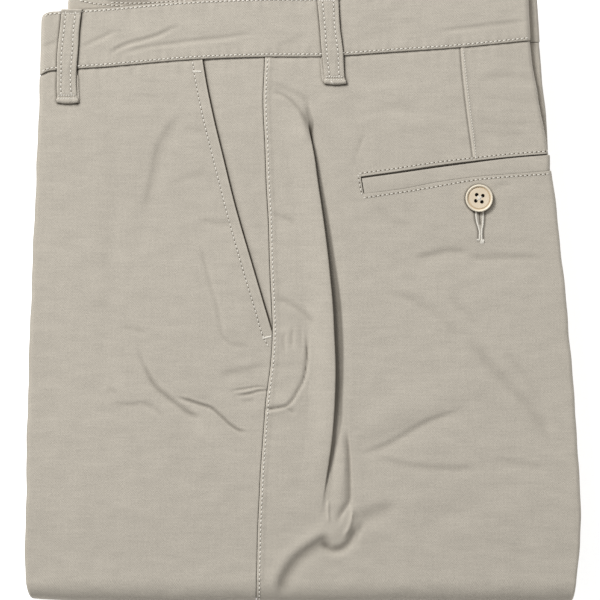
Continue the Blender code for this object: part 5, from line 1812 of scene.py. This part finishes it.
def needle_holes(
        name: str, rows: Sequence[StitchRow], finish: Material) -> bpy.types.Object:
    """The holes between the stitches: six-sided low caps, each a dark dot of painted shade on the cloth.
    """
    found = [(*row.holes(), row.hole) for row in rows if row.hole]
    middle = np.concatenate([hole[0] for hole in found])
    out = np.concatenate([hole[1] for hole in found])
    radius = np.concatenate([np.full(len(hole[0]), hole[2]) for hole in found])[:, None, None]
    way = unit(np.cross(out, np.array([0.31, 0.95, 0.02])))
    other = np.cross(out, way)
    sides = 6
    turns = np.linspace(0.0, math.tau, sides, endpoint=False)
    ring = np.cos(turns)[:, None] * way[:, None] + np.sin(turns)[:, None] * other[:, None]
    low = middle[:, None] + 1.15 * radius * ring - 0.10 * out[:, None]
    high = middle[:, None] + radius * ring + 0.06 * out[:, None]
    points = np.concatenate([low, high], axis=1).reshape(-1, 3)
    index = np.arange(len(points)).reshape(-1, 2, sides)
    caps = [cap(index[:, level], corners)
            for level in (0, 1) for corners in ((0, 1, 2, 3), (0, 3, 4, 5))]
    faces = outward_of_convex(points, np.concatenate([walls(index), *caps]), 2 * sides)
    return make_object(name, points, faces, None, finish)


def sew(name: str, rows: Sequence[StitchRow], thread: Material, dark: Material,
        tacks: Sequence[Thread] = ()) -> None:
    """Make a part's stitches, with any tacks, as one piece and the painted shade of its needle holes as
    another.
    """
    sewn(name + "_stitching", [row.thread() for row in rows] + list(tacks), thread)
    needle_holes(name + "_needle_holes", rows, dark)


# ---------------- finishes


class Wire:
    """The output of a shader node. Arithmetic on it adds the Math nodes that work it out."""

    def __init__(self, nodes: NodeBook, socket: bpy.types.NodeSocket) -> None:
        """Remember the tree and the socket."""
        self.nodes = nodes
        self.socket = socket

    def _maths(self, operation: str, *values: Wire | float) -> Wire:
        """One Math node."""
        return self.nodes.node(
            "ShaderNodeMath", {"operation": operation}, dict(enumerate(values)))

    def __add__(self, other: Wire | float) -> Wire:
        """self + other."""
        return self._maths("ADD", self, other)

    def __sub__(self, other: Wire | float) -> Wire:
        """self - other."""
        return self._maths("SUBTRACT", self, other)

    def __rsub__(self, other: float) -> Wire:
        """other - self."""
        return self._maths("SUBTRACT", other, self)

    def __mul__(self, other: Wire | float) -> Wire:
        """self times other."""
        return self._maths("MULTIPLY", self, other)

    __radd__ = __add__
    __rmul__ = __mul__

    def sine(self) -> Wire:
        """The sine of self."""
        return self._maths("SINE", self)

    def clamped(self) -> Wire:
        """Self held between 0 and 1."""
        return self.nodes.node("ShaderNodeClamp", {}, {"Value": self})


class NodeBook:
    """A new material and the way to add nodes to it."""

    def __init__(self, name: str) -> None:
        """Make the material with its one shader."""
        self.material = bpy.data.materials.new(name)
        self.material.use_nodes = True
        self.tree = self.material.node_tree
        self.shader = self.tree.nodes["Principled BSDF"]

    def node(
            self, kind: str, settings: dict[str, object], inputs: dict[str | int, object],
            output: str | int = 0) -> Wire:
        """Add any node.

        Args:
            kind: The node's type.
            settings: Its own settings, set first.
            inputs: Values or links for its sockets, by name or place.
            output: The socket that is returned.

        Returns:
            The chosen output.
        """
        node = self.tree.nodes.new(kind)
        for key, value in settings.items():
            setattr(node, key, value)
        for key, value in inputs.items():
            self.plug(node.inputs[key], value)
        return Wire(self, node.outputs[output])

    def plug(self, socket: bpy.types.NodeSocket, value: object) -> None:
        """Link an output to a socket, or set the socket's own value."""
        if isinstance(value, Wire):
            self.tree.links.new(value.socket, socket)
        else:
            socket.default_value = value

    def mix(self, amount: Wire | float, low: object, high: object) -> Wire:
        """Blend two colours."""
        return self.node(
            "ShaderNodeMix", {"data_type": "RGBA"}, {0: amount, 6: low, 7: high}, 2)

    def noise(self, place: Wire, scale: float, detail: float = 2.0) -> Wire:
        """Soft noise around a half."""
        return self.node(
            "ShaderNodeTexNoise", {}, {"Vector": place, "Scale": scale, "Detail": detail})

    def place(self) -> Wire:
        """The place in the frame, in metres."""
        return self.node("ShaderNodeTexCoord", {}, {}, "Object")

    def streaks(self, x: Wire, y: Wire, detail: float = 2.0) -> Wire:
        """Noise over two lengths that are scaled beforehand, for streaks along either."""
        return self.noise(self.node("ShaderNodeCombineXYZ", {}, {0: x, 1: y}), 1.0, detail)

    def bump(self, height: Wire, strength: float, distance: float) -> Wire:
        """Small relief of the surface, its height in metres."""
        return self.node(
            "ShaderNodeBump", {}, {"Strength": strength, "Distance": distance, "Height": height})

    def hollow(self, reach: float) -> Wire:
        """How shut in a place is, 0 in the open and 1 deep in a seam, where it faces up."""
        open_sky = self.node(
            "ShaderNodeAmbientOcclusion", {"samples": 8}, {"Distance": reach}, "AO")
        normal = self.node("ShaderNodeNewGeometry", {}, {}, "Normal")
        faces_up = (self.part(normal, 2) * 3.0).clamped()
        return (1.0 - open_sky) * faces_up

    def edge(self, reach: float) -> Wire:
        """How sharply the cloth bends away here, 0 on the flat and near 1 on a thin edge."""
        return 1.0 - self.node(
            "ShaderNodeAmbientOcclusion", {"samples": 8, "inside": True, "only_local": True},
            {"Distance": reach}, "AO")

    def part(self, vector: Wire, axis: int) -> Wire:
        """One component of a vector."""
        return self.node("ShaderNodeSeparateXYZ", {}, {0: vector}, axis)

    def finish(self, inputs: dict[str, object]) -> Material:
        """Set the shader's sockets and hand over the material."""
        for key, value in inputs.items():
            self.plug(self.shader.inputs[key], value)
        return self.material


Colour = tuple[float, float, float]


def opaque(colour: Colour, scale: float = 1.0) -> tuple[float, ...]:
    """A colour with its alpha, lighter or darker by a factor."""
    return (*(c * scale for c in colour), 1.0)


@dataclass(frozen=True)
class TwillFinish:
    """Brushed cotton twill: diagonal ribs that run down to the right, fine slubs and soft sheen."""

    name: str = "stone_twill"
    colour: Colour = (0.520, 0.476, 0.405)
    # the colour that full painted shade goes to
    deep: Colour = (0.075, 0.062, 0.046)
    rib: float = 1.02             # from one rib to the next
    slope: float = 47.0           # degrees down from the cloth's width
    depth: float = 0.07

    def build(self) -> Material:
        """Ribs are a sine across the diagonal, bent by noise; floats are a finer one along it.

        The colour is painted: darker for shade where ambient occlusion finds hollows and seams and
        where the `shade` attribute is positive, lighter for highlight on thin edges and where it is
        negative.
        """
        book = NodeBook(self.name)
        plan = book.node("ShaderNodeUVMap", {"uv_map": "plan"}, {})
        u, v = book.part(plan, 0), book.part(plan, 1)
        turn = math.radians(self.slope)
        waver = book.noise(plan, 170.0)
        cross = u * (math.sin(turn) / MM) + v * (math.cos(turn) / MM)
        along = u * (math.cos(turn) / MM) - v * (math.sin(turn) / MM)
        ribs = (cross * (math.tau / self.rib) + waver * 4.0).sine()
        floats = (along * (math.tau / self.rib) + waver * 5.0).sine()
        grain = book.noise(plan, 1100.0)
        slubs = book.streaks(u * 70.0, v * 600.0)
        warps = book.streaks(u * 600.0, v * 70.0)
        mottle = book.streaks(u * 60.0, v * 150.0, 4.0)
        patches = book.noise(plan, 150.0)
        tone = 0.5 + (0.22 * ribs + 0.15 * floats) * (2.6 * patches - 0.6) + 1.2 * (grain - 0.5)
        tone = tone + 0.35 * (slubs - 0.5) + 0.25 * (warps - 0.5) + 0.55 * (mottle - 0.5)
        base = book.mix(tone.clamped(), opaque(self.colour, 0.81), opaque(self.colour, 1.19))
        shade = book.node("ShaderNodeAttribute", {"attribute_name": "shade"}, {}, "Fac")
        # painted highlight on thin edges and where the shade attribute is negative
        painted_highlight = (book.edge(0.5 * MM) * 0.55 - shade).clamped()
        base_with_painted_highlight = book.mix(painted_highlight, base, opaque(self.colour, 1.35))
        # painted shade from ambient occlusion and from the shade attribute
        painted_shade = (book.hollow(1.8 * MM) * 1.25 + shade).clamped()
        height = 0.5 * ribs + 0.22 * floats + 1.2 * (grain - 0.5) + 0.3 * (slubs - 0.5)
        return book.finish({
            "Base Color": book.mix(painted_shade, base_with_painted_highlight, opaque(self.deep)),
            "Roughness": 0.86 + 0.08 * (grain - 0.5),
            "Normal": book.bump(height, 0.6, self.depth * MM),
            "Specular IOR Level": 0.25,
            "Sheen Weight": 0.10,
            "Sheen Roughness": 0.45,
            "Sheen Tint": opaque((1.0, 0.97, 0.92)),
        })


@dataclass(frozen=True)
class ThreadFinish:
    """Matt sewing thread with its twist as a fine grain."""

    name: str = "cream_thread"
    colour: Colour = (0.80, 0.76, 0.68)

    def build(self) -> Material:
        """The twist is noise much finer than a stitch."""
        book = NodeBook(self.name)
        place = book.place()
        twist = book.noise(place, 2600.0)
        shade = book.noise(place, 120.0)
        tone = (0.5 + 1.1 * (twist - 0.5) + 0.7 * (shade - 0.5)).clamped()
        return book.finish({
            "Base Color": book.mix(tone, opaque(self.colour, 0.86), opaque(self.colour, 1.14)),
            "Roughness": 0.7,
            "Normal": book.bump(twist, 0.5, 0.05 * MM),
            "Sheen Weight": 0.15,
            "Specular IOR Level": 0.3,
        })


@dataclass(frozen=True)
class NeedleHoleFinish:
    """The painted shade of a needle hole."""

    name: str = "needle_hole"
    colour: Colour = (0.15, 0.125, 0.095)

    def build(self) -> Material:
        """An uneven dark colour for the painted shade."""
        book = NodeBook(self.name)
        shade = book.noise(book.place(), 300.0)
        return book.finish({
            "Base Color": book.mix(shade, opaque(self.colour, 0.6), opaque(self.colour, 1.4)),
            "Roughness": 1.0, "Specular IOR Level": 0.0})


@dataclass(frozen=True)
class ResinFinish:
    """Satin horn-coloured resin, a little clouded, paler at the rim and browner in the groove.

    `groove_at` and `rim_at` say where either sets in, as squares of the radius.
    """

    name: str = "horn_resin"
    colour: Colour = (0.80, 0.68, 0.515)
    groove: Colour = (0.52, 0.38, 0.22)
    rim: Colour = (0.90, 0.81, 0.65)
    groove_at: tuple[float, float] = (0.46, 0.60)
    rim_at: tuple[float, float] = (0.64, 0.74)

    def build(self) -> Material:
        """Clouds are soft noise, stretched; the groove and the rim set in as smooth steps."""
        book = NodeBook(self.name)
        place = book.place()
        middle = (BUTTON_X * MM, (BUTTON_UP + UP_ZERO) * MM, 0.0)
        local = book.node("ShaderNodeVectorMath", {"operation": "SUBTRACT"}, {0: place, 1: middle})
        x, y = book.part(local, 0), book.part(local, 1)
        squared = (x * x + y * y) * (1.0 / (BUTTON_RADIUS * MM) ** 2)
        clouds = book.noise(place, 260.0, 3.0)
        streaks = book.streaks(x * 240.0, y * 900.0, 3.0)
        tone = (0.5 + 0.8 * (clouds - 0.5) + 0.5 * (streaks - 0.5)).clamped()
        face = book.mix(tone, opaque(self.colour, 0.92), opaque(self.colour, 1.08))
        groove, rim = (book.node(
            "ShaderNodeMapRange", {"interpolation_type": "SMOOTHSTEP"},
            {"Value": squared, "From Min": start, "From Max": end})
            for start, end in (self.groove_at, self.rim_at))
        face = book.mix(groove * 0.7, face, opaque(self.groove))
        return book.finish({
            "Base Color": book.mix(rim, face, opaque(self.rim)),
            "Roughness": 0.36 + 0.12 * (clouds - 0.5),
            "Normal": book.bump(streaks, 0.15, 0.03 * MM),
            "Coat Weight": 0.25,
            "Coat Roughness": 0.2,
        })


@dataclass(frozen=True)
class PaleFloorFinish:
    """The plain pale surface that the trousers lie on."""

    name: str = "pale_floor"

    def build(self) -> Material:
        """Near-white with the faintest unevenness."""
        book = NodeBook(self.name)
        shade = book.noise(book.place(), 3.0, 1.0)
        white = book.mix(shade, (0.60, 0.60, 0.60, 1.0), (0.62, 0.62, 0.62, 1.0))
        return book.finish({
            "Base Color": white, "Roughness": 0.95, "Specular IOR Level": 0.1,
            "Emission Color": (1.0, 1.0, 1.0, 1.0), "Emission Strength": 0.78})


# ---------------- the button and its hole


@dataclass(frozen=True)
class Button:
    """A four-hole button, its thread and the worked hole below it."""

    name: str = "button"
    x: float = BUTTON_X
    up: float = BUTTON_UP
    radius: float = BUTTON_RADIUS
    thickness: float = 2.8
    lift: float = 0.15            # off the cloth's plain level
    hole_radius: float = 1.12
    hole_offset: float = 1.85     # from the middle, along either side of the holes' square
    turn: float = -9.0            # degrees that the holes are turned

    # From the hollow middle over the rim to the underside, in radii and thicknesses
    PROFILE = (
        (0.30, 0.64), (0.55, 0.66), (0.69, 0.70), (0.745, 0.69), (0.775, 0.62), (0.80, 0.59),
        (0.825, 0.63), (0.85, 0.80), (0.875, 0.93), (0.905, 0.99), (0.935, 1.00), (0.965, 0.94),
        (0.985, 0.83), (1.0, 0.68), (0.995, 0.52), (0.97, 0.38), (0.90, 0.20), (0.80, 0.08),
        (0.60, 0.0), (0.30, 0.0))

    def tilt(self) -> Array:
        """The turn that lays the button on the cloth's slope under it."""
        step = 1.0
        slope = (STACK.waist_lift(np.array(self.up + step))
                 - STACK.waist_lift(np.array(self.up - step))) / (2 * step)
        a = math.atan(float(slope))
        return np.array([
            [1, 0, 0], [0, math.cos(a), -math.sin(a)], [0, math.sin(a), math.cos(a)]])

    def seated(self, points: Array) -> Array:
        """Carry points of the button's own frame to the cloth."""
        up = np.array(self.up)
        level = float(STACK.height + STACK.waist_lift(up) + STACK.top_loft(up))
        tilt = self.tilt()
        seat = np.array([self.x, self.up, level]) + tilt @ np.array([0.0, 0.0, self.lift])
        return points @ tilt.T + seat

    def turned(self) -> tuple[Array, Array]:
        """The profile spun round its axis, with a fan of triangles in both middles."""
        sides = 96
        turns = np.linspace(0.0, math.tau, sides, endpoint=False)
        rings = np.array(self.PROFILE) * np.array([self.radius, self.thickness])
        points = np.stack([
            rings[:, :1] * np.cos(turns), rings[:, :1] * np.sin(turns),
            np.repeat(rings[:, 1:], sides, axis=1)], axis=-1).reshape(-1, 3)
        index = np.arange(len(rings) * sides).reshape(len(rings), sides)
        after = np.roll(index, -1, axis=1)
        quads = np.stack([index[:-1], index[1:], after[1:], after[:-1]], axis=-1).reshape(-1, 4)
        count = len(points)
        points = np.concatenate([
            points, [[0.0, 0.0, 0.63 * self.thickness], [0.0, 0.0, 0.0]]])
        top, under = np.full(sides, count), np.full(sides, count + 1)
        fans = np.concatenate([
            np.stack([top, index[0], after[0], after[0]], axis=-1),
            np.stack([under, after[-1], index[-1], index[-1]], axis=-1)])
        faces = np.concatenate([quads, fans])
        return points, outward(points, faces)

    def pins(self) -> tuple[Array, Array]:
        """Four round pins, where the holes go."""
        sides = 24
        turns = np.linspace(0.0, math.tau, sides, endpoint=False)
        points, faces = [], []
        turn = math.radians(self.turn)
        for i, (sx, sy) in enumerate(((-1, -1), (-1, 1), (1, -1), (1, 1))):
            cx = self.hole_offset * (sx * math.cos(turn) - sy * math.sin(turn))
            cy = self.hole_offset * (sx * math.sin(turn) + sy * math.cos(turn))
            ring = np.stack([cx + self.hole_radius * np.cos(turns),
                             cy + self.hole_radius * np.sin(turns)], axis=-1)
            ends = [np.column_stack([ring, np.full(sides, z)]) for z in (-1.0, self.thickness + 1)]
            middles = np.array([[cx, cy, -1.0], [cx, cy, self.thickness + 1]])
            start = i * (2 * sides + 2)
            low = start + np.arange(sides)
            high = low + sides
            next_low, next_high = np.roll(low, -1), np.roll(high, -1)
            floor, roof = np.full(sides, start + 2 * sides), np.full(sides, start + 2 * sides + 1)
            faces.append(np.stack([low, next_low, next_high, high], axis=-1))
            faces.append(np.stack([floor, next_low, low, low], axis=-1))
            faces.append(np.stack([roof, high, next_high, next_high], axis=-1))
            points.append(np.concatenate([*ends, middles]))
        return np.concatenate(points), np.concatenate(faces)

    def make(self, finish: Material) -> bpy.types.Object:
        """Turn the button, cut its holes and dress it."""
        points, faces = self.turned()
        piece = make_object(
            self.name + "_resin", self.seated(points), faces, None, finish, 50.0)
        points, faces = self.pins()
        cutter = in_scene("button_pins", mesh_from("button_pins", self.seated(points), faces))
        cut = piece.modifiers.new("holes", "BOOLEAN")
        cut.operation = "DIFFERENCE"
        cut.solver = "EXACT"
        cut.object = cutter
        graph = bpy.context.evaluated_depsgraph_get()
        whole = bpy.data.meshes.new_from_object(piece.evaluated_get(graph))
        piece.modifiers.clear()
        piece.data = whole
        bpy.data.objects.remove(cutter, do_unlink=True)
        whole.shade_smooth()
        whole.set_sharp_from_angle(angle=math.radians(40.0))
        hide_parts(self.name)
        return piece

    def hole_floors(self, finish: Material) -> bpy.types.Object:
        """Low dark pins that fill the holes' lower halves: painted shade where thread and cloth lie in
        shadow.
        """
        points, faces = self.pins()
        points[:, 2] = np.clip(points[:, 2], 0.05, 0.34 * self.thickness)
        return make_object("button_hole_floors", self.seated(points), faces, None, finish)

    def thread_piece(self, finish: Material) -> bpy.types.Object:
        """Two crossed strands of doubled thread from hole to hole, down into the holes."""
        face = 0.66 * self.thickness

        def surface(x: Array, y: Array, lift: float) -> Array:
            """The button's face, lifted off it."""
            return self.seated(np.stack([x, y, np.full(np.shape(x), face + lift)], axis=-1))

        turn = math.radians(self.turn + 45.0)
        reach = self.hole_offset * math.sqrt(2) - 0.80
        starts, ends = [], []
        for angle in (turn, turn + math.pi / 2):
            way = np.array([math.cos(angle), math.sin(angle)])
            side = np.array([-way[1], way[0]])
            for shift in (-0.30, 0.05, 0.34):
                starts.append(-way * reach + side * shift * 0.6)
                ends.append(way * reach + side * shift)
        heights = ((0.75, 1.9), (1.25, 2.4))
        threads = [
            Thread(np.array(starts[i:i + 3]), np.array(ends[i:i + 3]), surface, 0.22, *height)
            for i, height in zip((0, 3), heights)]
        return sewn("button_thread", threads, finish)


def buttonhole_threads(surface: Surface) -> list[Thread]:
    """The worked edges of the buttonhole below the button and the bar tack at its lower end."""
    return [satin(smooth_line(edge, 0.5), 1.15, surface) for edge in BUTTONHOLE_EDGES] + [
        satin(np.array(line), width, surface, pitch) for line, width, pitch in BUTTONHOLE_TACKS]


# ---------------- studio


@dataclass(frozen=True)
class Studio:
    """Floor, light and camera."""

    distance: float = 3.2         # metres from the top ply to the camera
    top_ply: float = 0.0265       # metres from the floor up to the top ply
    span: float = 0.360           # metres that the picture shows at the top ply
    sensor: float = 36.0          # the camera's sensor in millimetres, which sets its lens
    aim: tuple[float, float] = (-0.00207, -0.00592)
    floor_half: float = 6.0       # metres from the middle of the floor to its edges
    floor_points: int = 9         # along each side of the floor's grid
    floor_z: float = -0.0003      # a little under the cloth
    ambient: float = 0.38
    lamp_at: tuple[float, float, float] = (-1.40, 1.84, 2.05)
    lamp_size: float = 1.05
    lamp_power: float = 84.5

    def floor(self) -> None:
        """A plain sheet under everything, wide enough for any view."""
        at = np.linspace(-self.floor_half, self.floor_half, self.floor_points)
        x, y = np.meshgrid(at, at)
        mesh = bpy.data.meshes.new("floor")
        points = np.stack([x.ravel(), y.ravel(), np.full(x.size, self.floor_z)], axis=-1)
        index = np.arange(x.size).reshape(x.shape)
        faces = np.stack([
            index[:-1, :-1], index[:-1, 1:], index[1:, 1:], index[1:, :-1]], axis=-1)
        mesh.from_pydata(points, [], faces.reshape(-1, 4).tolist())
        mesh.materials.append(PaleFloorFinish().build())
        in_scene("floor", mesh)

    def light(self) -> None:
        """Even light from all round and a large soft lamp from beyond the waist."""
        world = bpy.data.worlds.new("studio")
        world.use_nodes = True
        background = world.node_tree.nodes["Background"]
        background.inputs["Color"].default_value = (1.0, 1.0, 1.0, 1.0)
        background.inputs["Strength"].default_value = self.ambient
        bpy.context.scene.world = world
        lamp = bpy.data.lights.new("softbox", "AREA")
        lamp.shape = "DISK"
        lamp.size = self.lamp_size
        lamp.energy = self.lamp_power
        lantern = in_scene("softbox", lamp)
        lantern.location = self.lamp_at
        across, along, down = (-c for c in self.lamp_at)
        lantern.rotation_euler = (
            math.atan2(math.hypot(across, along), -down), 0.0,
            math.atan2(along, across) - math.pi / 2)

    def camera(self) -> None:
        """Straight above, its lens set so that the sensor's width shows `span` at the top ply."""
        data = bpy.data.cameras.new("camera")
        data.sensor_width = self.sensor
        data.lens = self.sensor * self.distance / self.span
        camera = in_scene("camera", data)
        camera.location = (*self.aim, self.distance + self.top_ply)
        bpy.context.scene.camera = camera
        bpy.context.scene.view_settings.view_transform = "Standard"

    def build(self) -> None:
        """Set the whole studio up."""
        self.floor()
        self.light()
        self.camera()


# ---------------- all together


FRONT = FrontPanel(
    "front_left", -1, "front", Cut((0.30, 1.02), 0.265, "right_leg"), painted_bend_shade=0.32, crease_x=-157.0)
BACK = BackPanel(
    "back_left", 1, "back", Cut((0.37, 1.02), 0.285, "right_leg"), painted_bend_shade=-0.35, crease_x=145.0)
BAND_FLAT, BAND_AREA = (0.44, 0.0356), 0.0155      # half the waist, in metres and square metres
LEFT_BAND = Waistband(
    "waistband_left", LEFT_WAIST, -158.3, -157.3, 136.3, 134.6,
    STACK.panel_top + BAND_STEP, STACK.height + STACK.lift - STACK.layer, 400, BAND_RELIEF,
    Cut(BAND_FLAT, BAND_AREA, "back_left"))
RIGHT_BAND = Waistband(
    "waistband_right", RIGHT_WAIST, -142.3, -141.6, 142.1, 140.0,
    STACK.right_bottom - BAND_STEP, STACK.height + STACK.lift - STACK.right_depth, 110,
    Relief((Ripple(41, 0.10, 30, 80),
            # a painted shadow line under the left half's top edge
            Crease(((-120, 360), (-108, 359.6), (-90, 360.2)), 0.3, 1.2, fade=5, dark=1.3))),
    Cut(BAND_FLAT, BAND_AREA, "right_leg"))
LOOPS = (
    BeltLoop("belt_loop_front_left", FRONT_LOOP, STACK.panel_top, 1.0, rows_at=(-3.4, 2.6)),
    BeltLoop("belt_loop_side_left", SIDE_LOOP, STACK.panel_top, 1.0, turning=-1.6, width=12.5,
             loose_end=True),
    BeltLoop("belt_loop_front_right", Table("up x", (
        (361.6, -124), (334, -124), (306, -124))), STACK.right_bottom, -1.0),
    BeltLoop("belt_loop_side_right", Table("up x", (
        (365.6, 20), (338, 20), (310, 20))), STACK.right_bottom, -1.0),
)


# Lines of stitches as x and up: the pocket edge, the dart's lower end, and round the welt
POCKET_STITCHES = (
    (-66.6, 322.6), (-64.6, 310), (-59.8, 286.6), (-54.4, 265), (-43.8, 223.6), (-36.3, 197.2),
    (-29.4, 174.4), (-23.9, 156.6), (-20.6, 150.2))
POCKET_TACKS = (((-66.6, 316.4), (-61, 316.2)), ((-24.6, 156), (-19.2, 157.4)))
DART_STITCHES = ((95.9, 328.5), (97.4, 315.5), (99.8, 295), (102.3, 276), (103.6, 263.8))
WELT_FRAME = (
    ((33, 255), (55.4, 258.1), (78.3, 261.6), (101.1, 264.3), (124.2, 266.8), (148.6, 268.6)),
    ((35.6, 240.3), (48.7, 242.3), (72.3, 245.9), (88.9, 248.9), (102.3, 251.1), (120.2, 252.9),
     (150.4, 255)),
    ((32.7, 254.8), (34, 247.6), (35.4, 240.6)))
# The buttonhole's left and right edge, and the tacks at its end with their width and pitch
BUTTONHOLE_EDGES = (
    ((103.5, 233), (103.9, 228), (104.7, 224.3), (105.7, 221.2), (105.7, 215.6)),
    ((107.9, 233), (107.9, 228), (107.7, 224.3), (107.1, 221.2), (107.1, 215.6)))
BUTTONHOLE_TACKS = (
    (((103.9, 215.3), (105.8, 215.2)), 1.3, 0.5), (((106.3, 214.5), (108.4, 214.1)), 3.0, 0.36))
# Stitches that show on the right half's turned-in ply, above the left half
BAND_BACK_STITCHES = (
    ((-134.8, 359.3), (-126.6, 357.5), (-116.8, 356.5), (-108, 355.8)),
    ((-116.1, 358), (-101.1, 357.5), (-92.1, 357.8), (-81.9, 358.4), (-68, 359.1)))


def leg_surface(height: Callable[[Array, Array], Array]) -> Surface:
    """The left leg's outer face as a function of x and run, lifted off it.

    Past the start of the back crease's rounding it goes on round that half circle.
    """

    def surface(x: Array, run: Array, lift: float) -> Array:
        """Points of the face."""
        up = STACK.fold_radius - run
        on_top = -STACK.top_loft(up) - height(x, up)
        depth = np.where(run <= 0, on_top, outer_depth(x, run))
        radius = (STACK.layer + STACK.top_loft(up)) / 2
        start = side_sections(run, "back") - radius
        bent = np.maximum(x - start, 0.0) / radius
        x = np.minimum(x, start) + (radius + lift) * np.sin(bent)
        return STACK.place(x, run, depth + radius - (radius + lift) * np.cos(bent))

    return surface


def panel_rows() -> list[StitchRow]:
    """All topstitching on the left leg: side seam, pocket edges, dart and welt frame."""
    on_back, on_front = leg_surface(BACK.plain_height), leg_surface(FRONT.plain_height)
    run = np.linspace(STACK.fold_radius - 324.2, STACK.leg_end - 2.0, 1400)
    beside_seam = np.stack([side_sections(run, "seam") + SEAM_STITCH, run], axis=-1)
    rows = [StitchRow(beside_seam, on_back, hole=0.32)]

    def on_panel(points: Points, surface: Surface, **sizes: float) -> StitchRow:
        """A row along a line given as x and up."""
        line = smooth_line(points, 1.0)
        flat = np.stack([line[:, 0], STACK.fold_radius - line[:, 1]], axis=-1)
        return StitchRow(flat, surface, **sizes)

    rows.append(on_panel(POCKET_STITCHES, on_front, radius=0.34, hole=0.40))
    rows.append(on_panel(DART_STITCHES, on_back, pitch=1.7, length=1.25, radius=0.26, hole=0.0))
    rows += [on_panel(line, on_back, length=1.75, radius=0.31, hole=0.46) for line in WELT_FRAME]
    return rows


def pocket_tacks() -> list[Thread]:
    """The bar tacks at both ends of the slanted pocket's opening."""
    on_front = leg_surface(FRONT.plain_height)
    return [satin(np.array([[x, STACK.fold_radius - up] for x, up in tack]), 1.2, on_front)
            for tack in POCKET_TACKS]


def band_rows(band: Waistband) -> list[StitchRow]:
    """A band's two rows of stitches, and on the right half those that show past the left one."""
    rows = [band.seam(1.65, band.front + 1.3, band.back - 1.0),
            band.seam(1.35, band.front_top + 1.8, band.back_top - 2.0, top=True)]
    if band is RIGHT_BAND:
        rows += [StitchRow(smooth_line(line, 1.0), band.behind, radius=0.34)
                 for line in BAND_BACK_STITCHES]
    return rows


def on_back(x: Array, up: Array, lift: float) -> Array:
    """The back panel's face from x and up."""
    return leg_surface(BACK.plain_height)(x, STACK.fold_radius - up, lift)


def main() -> None:
    """Build and dress every piece."""
    twill, thread = TwillFinish().build(), ThreadFinish().build()
    # dark caps of painted shade in the needle holes
    dark = NeedleHoleFinish().build()
    bands = (LEFT_BAND, RIGHT_BAND)
    for part in (FRONT, BACK, PocketFacing(), PocketWelt(), RightLeg(), *bands, *LOOPS):
        part.make(twill)
    sew("panel", panel_rows(), thread, dark, pocket_tacks())
    for band in bands:
        sew(band.name, band_rows(band), thread, dark)
    for loop in LOOPS:
        sew(loop.name, loop.stitch_rows(), thread, dark)
    button = Button()
    button.make(ResinFinish().build())
    button.thread_piece(thread)
    # painted shade in the button's holes
    button.hole_floors(NeedleHoleFinish("button_hole_dark", (0.012, 0.010, 0.008)).build())
    sewn("buttonhole_stitching", buttonhole_threads(on_back), thread)
    Studio().build()


if __name__ == "__main__":
    logging.basicConfig(level=logging.INFO, format="%(message)s")
    main()
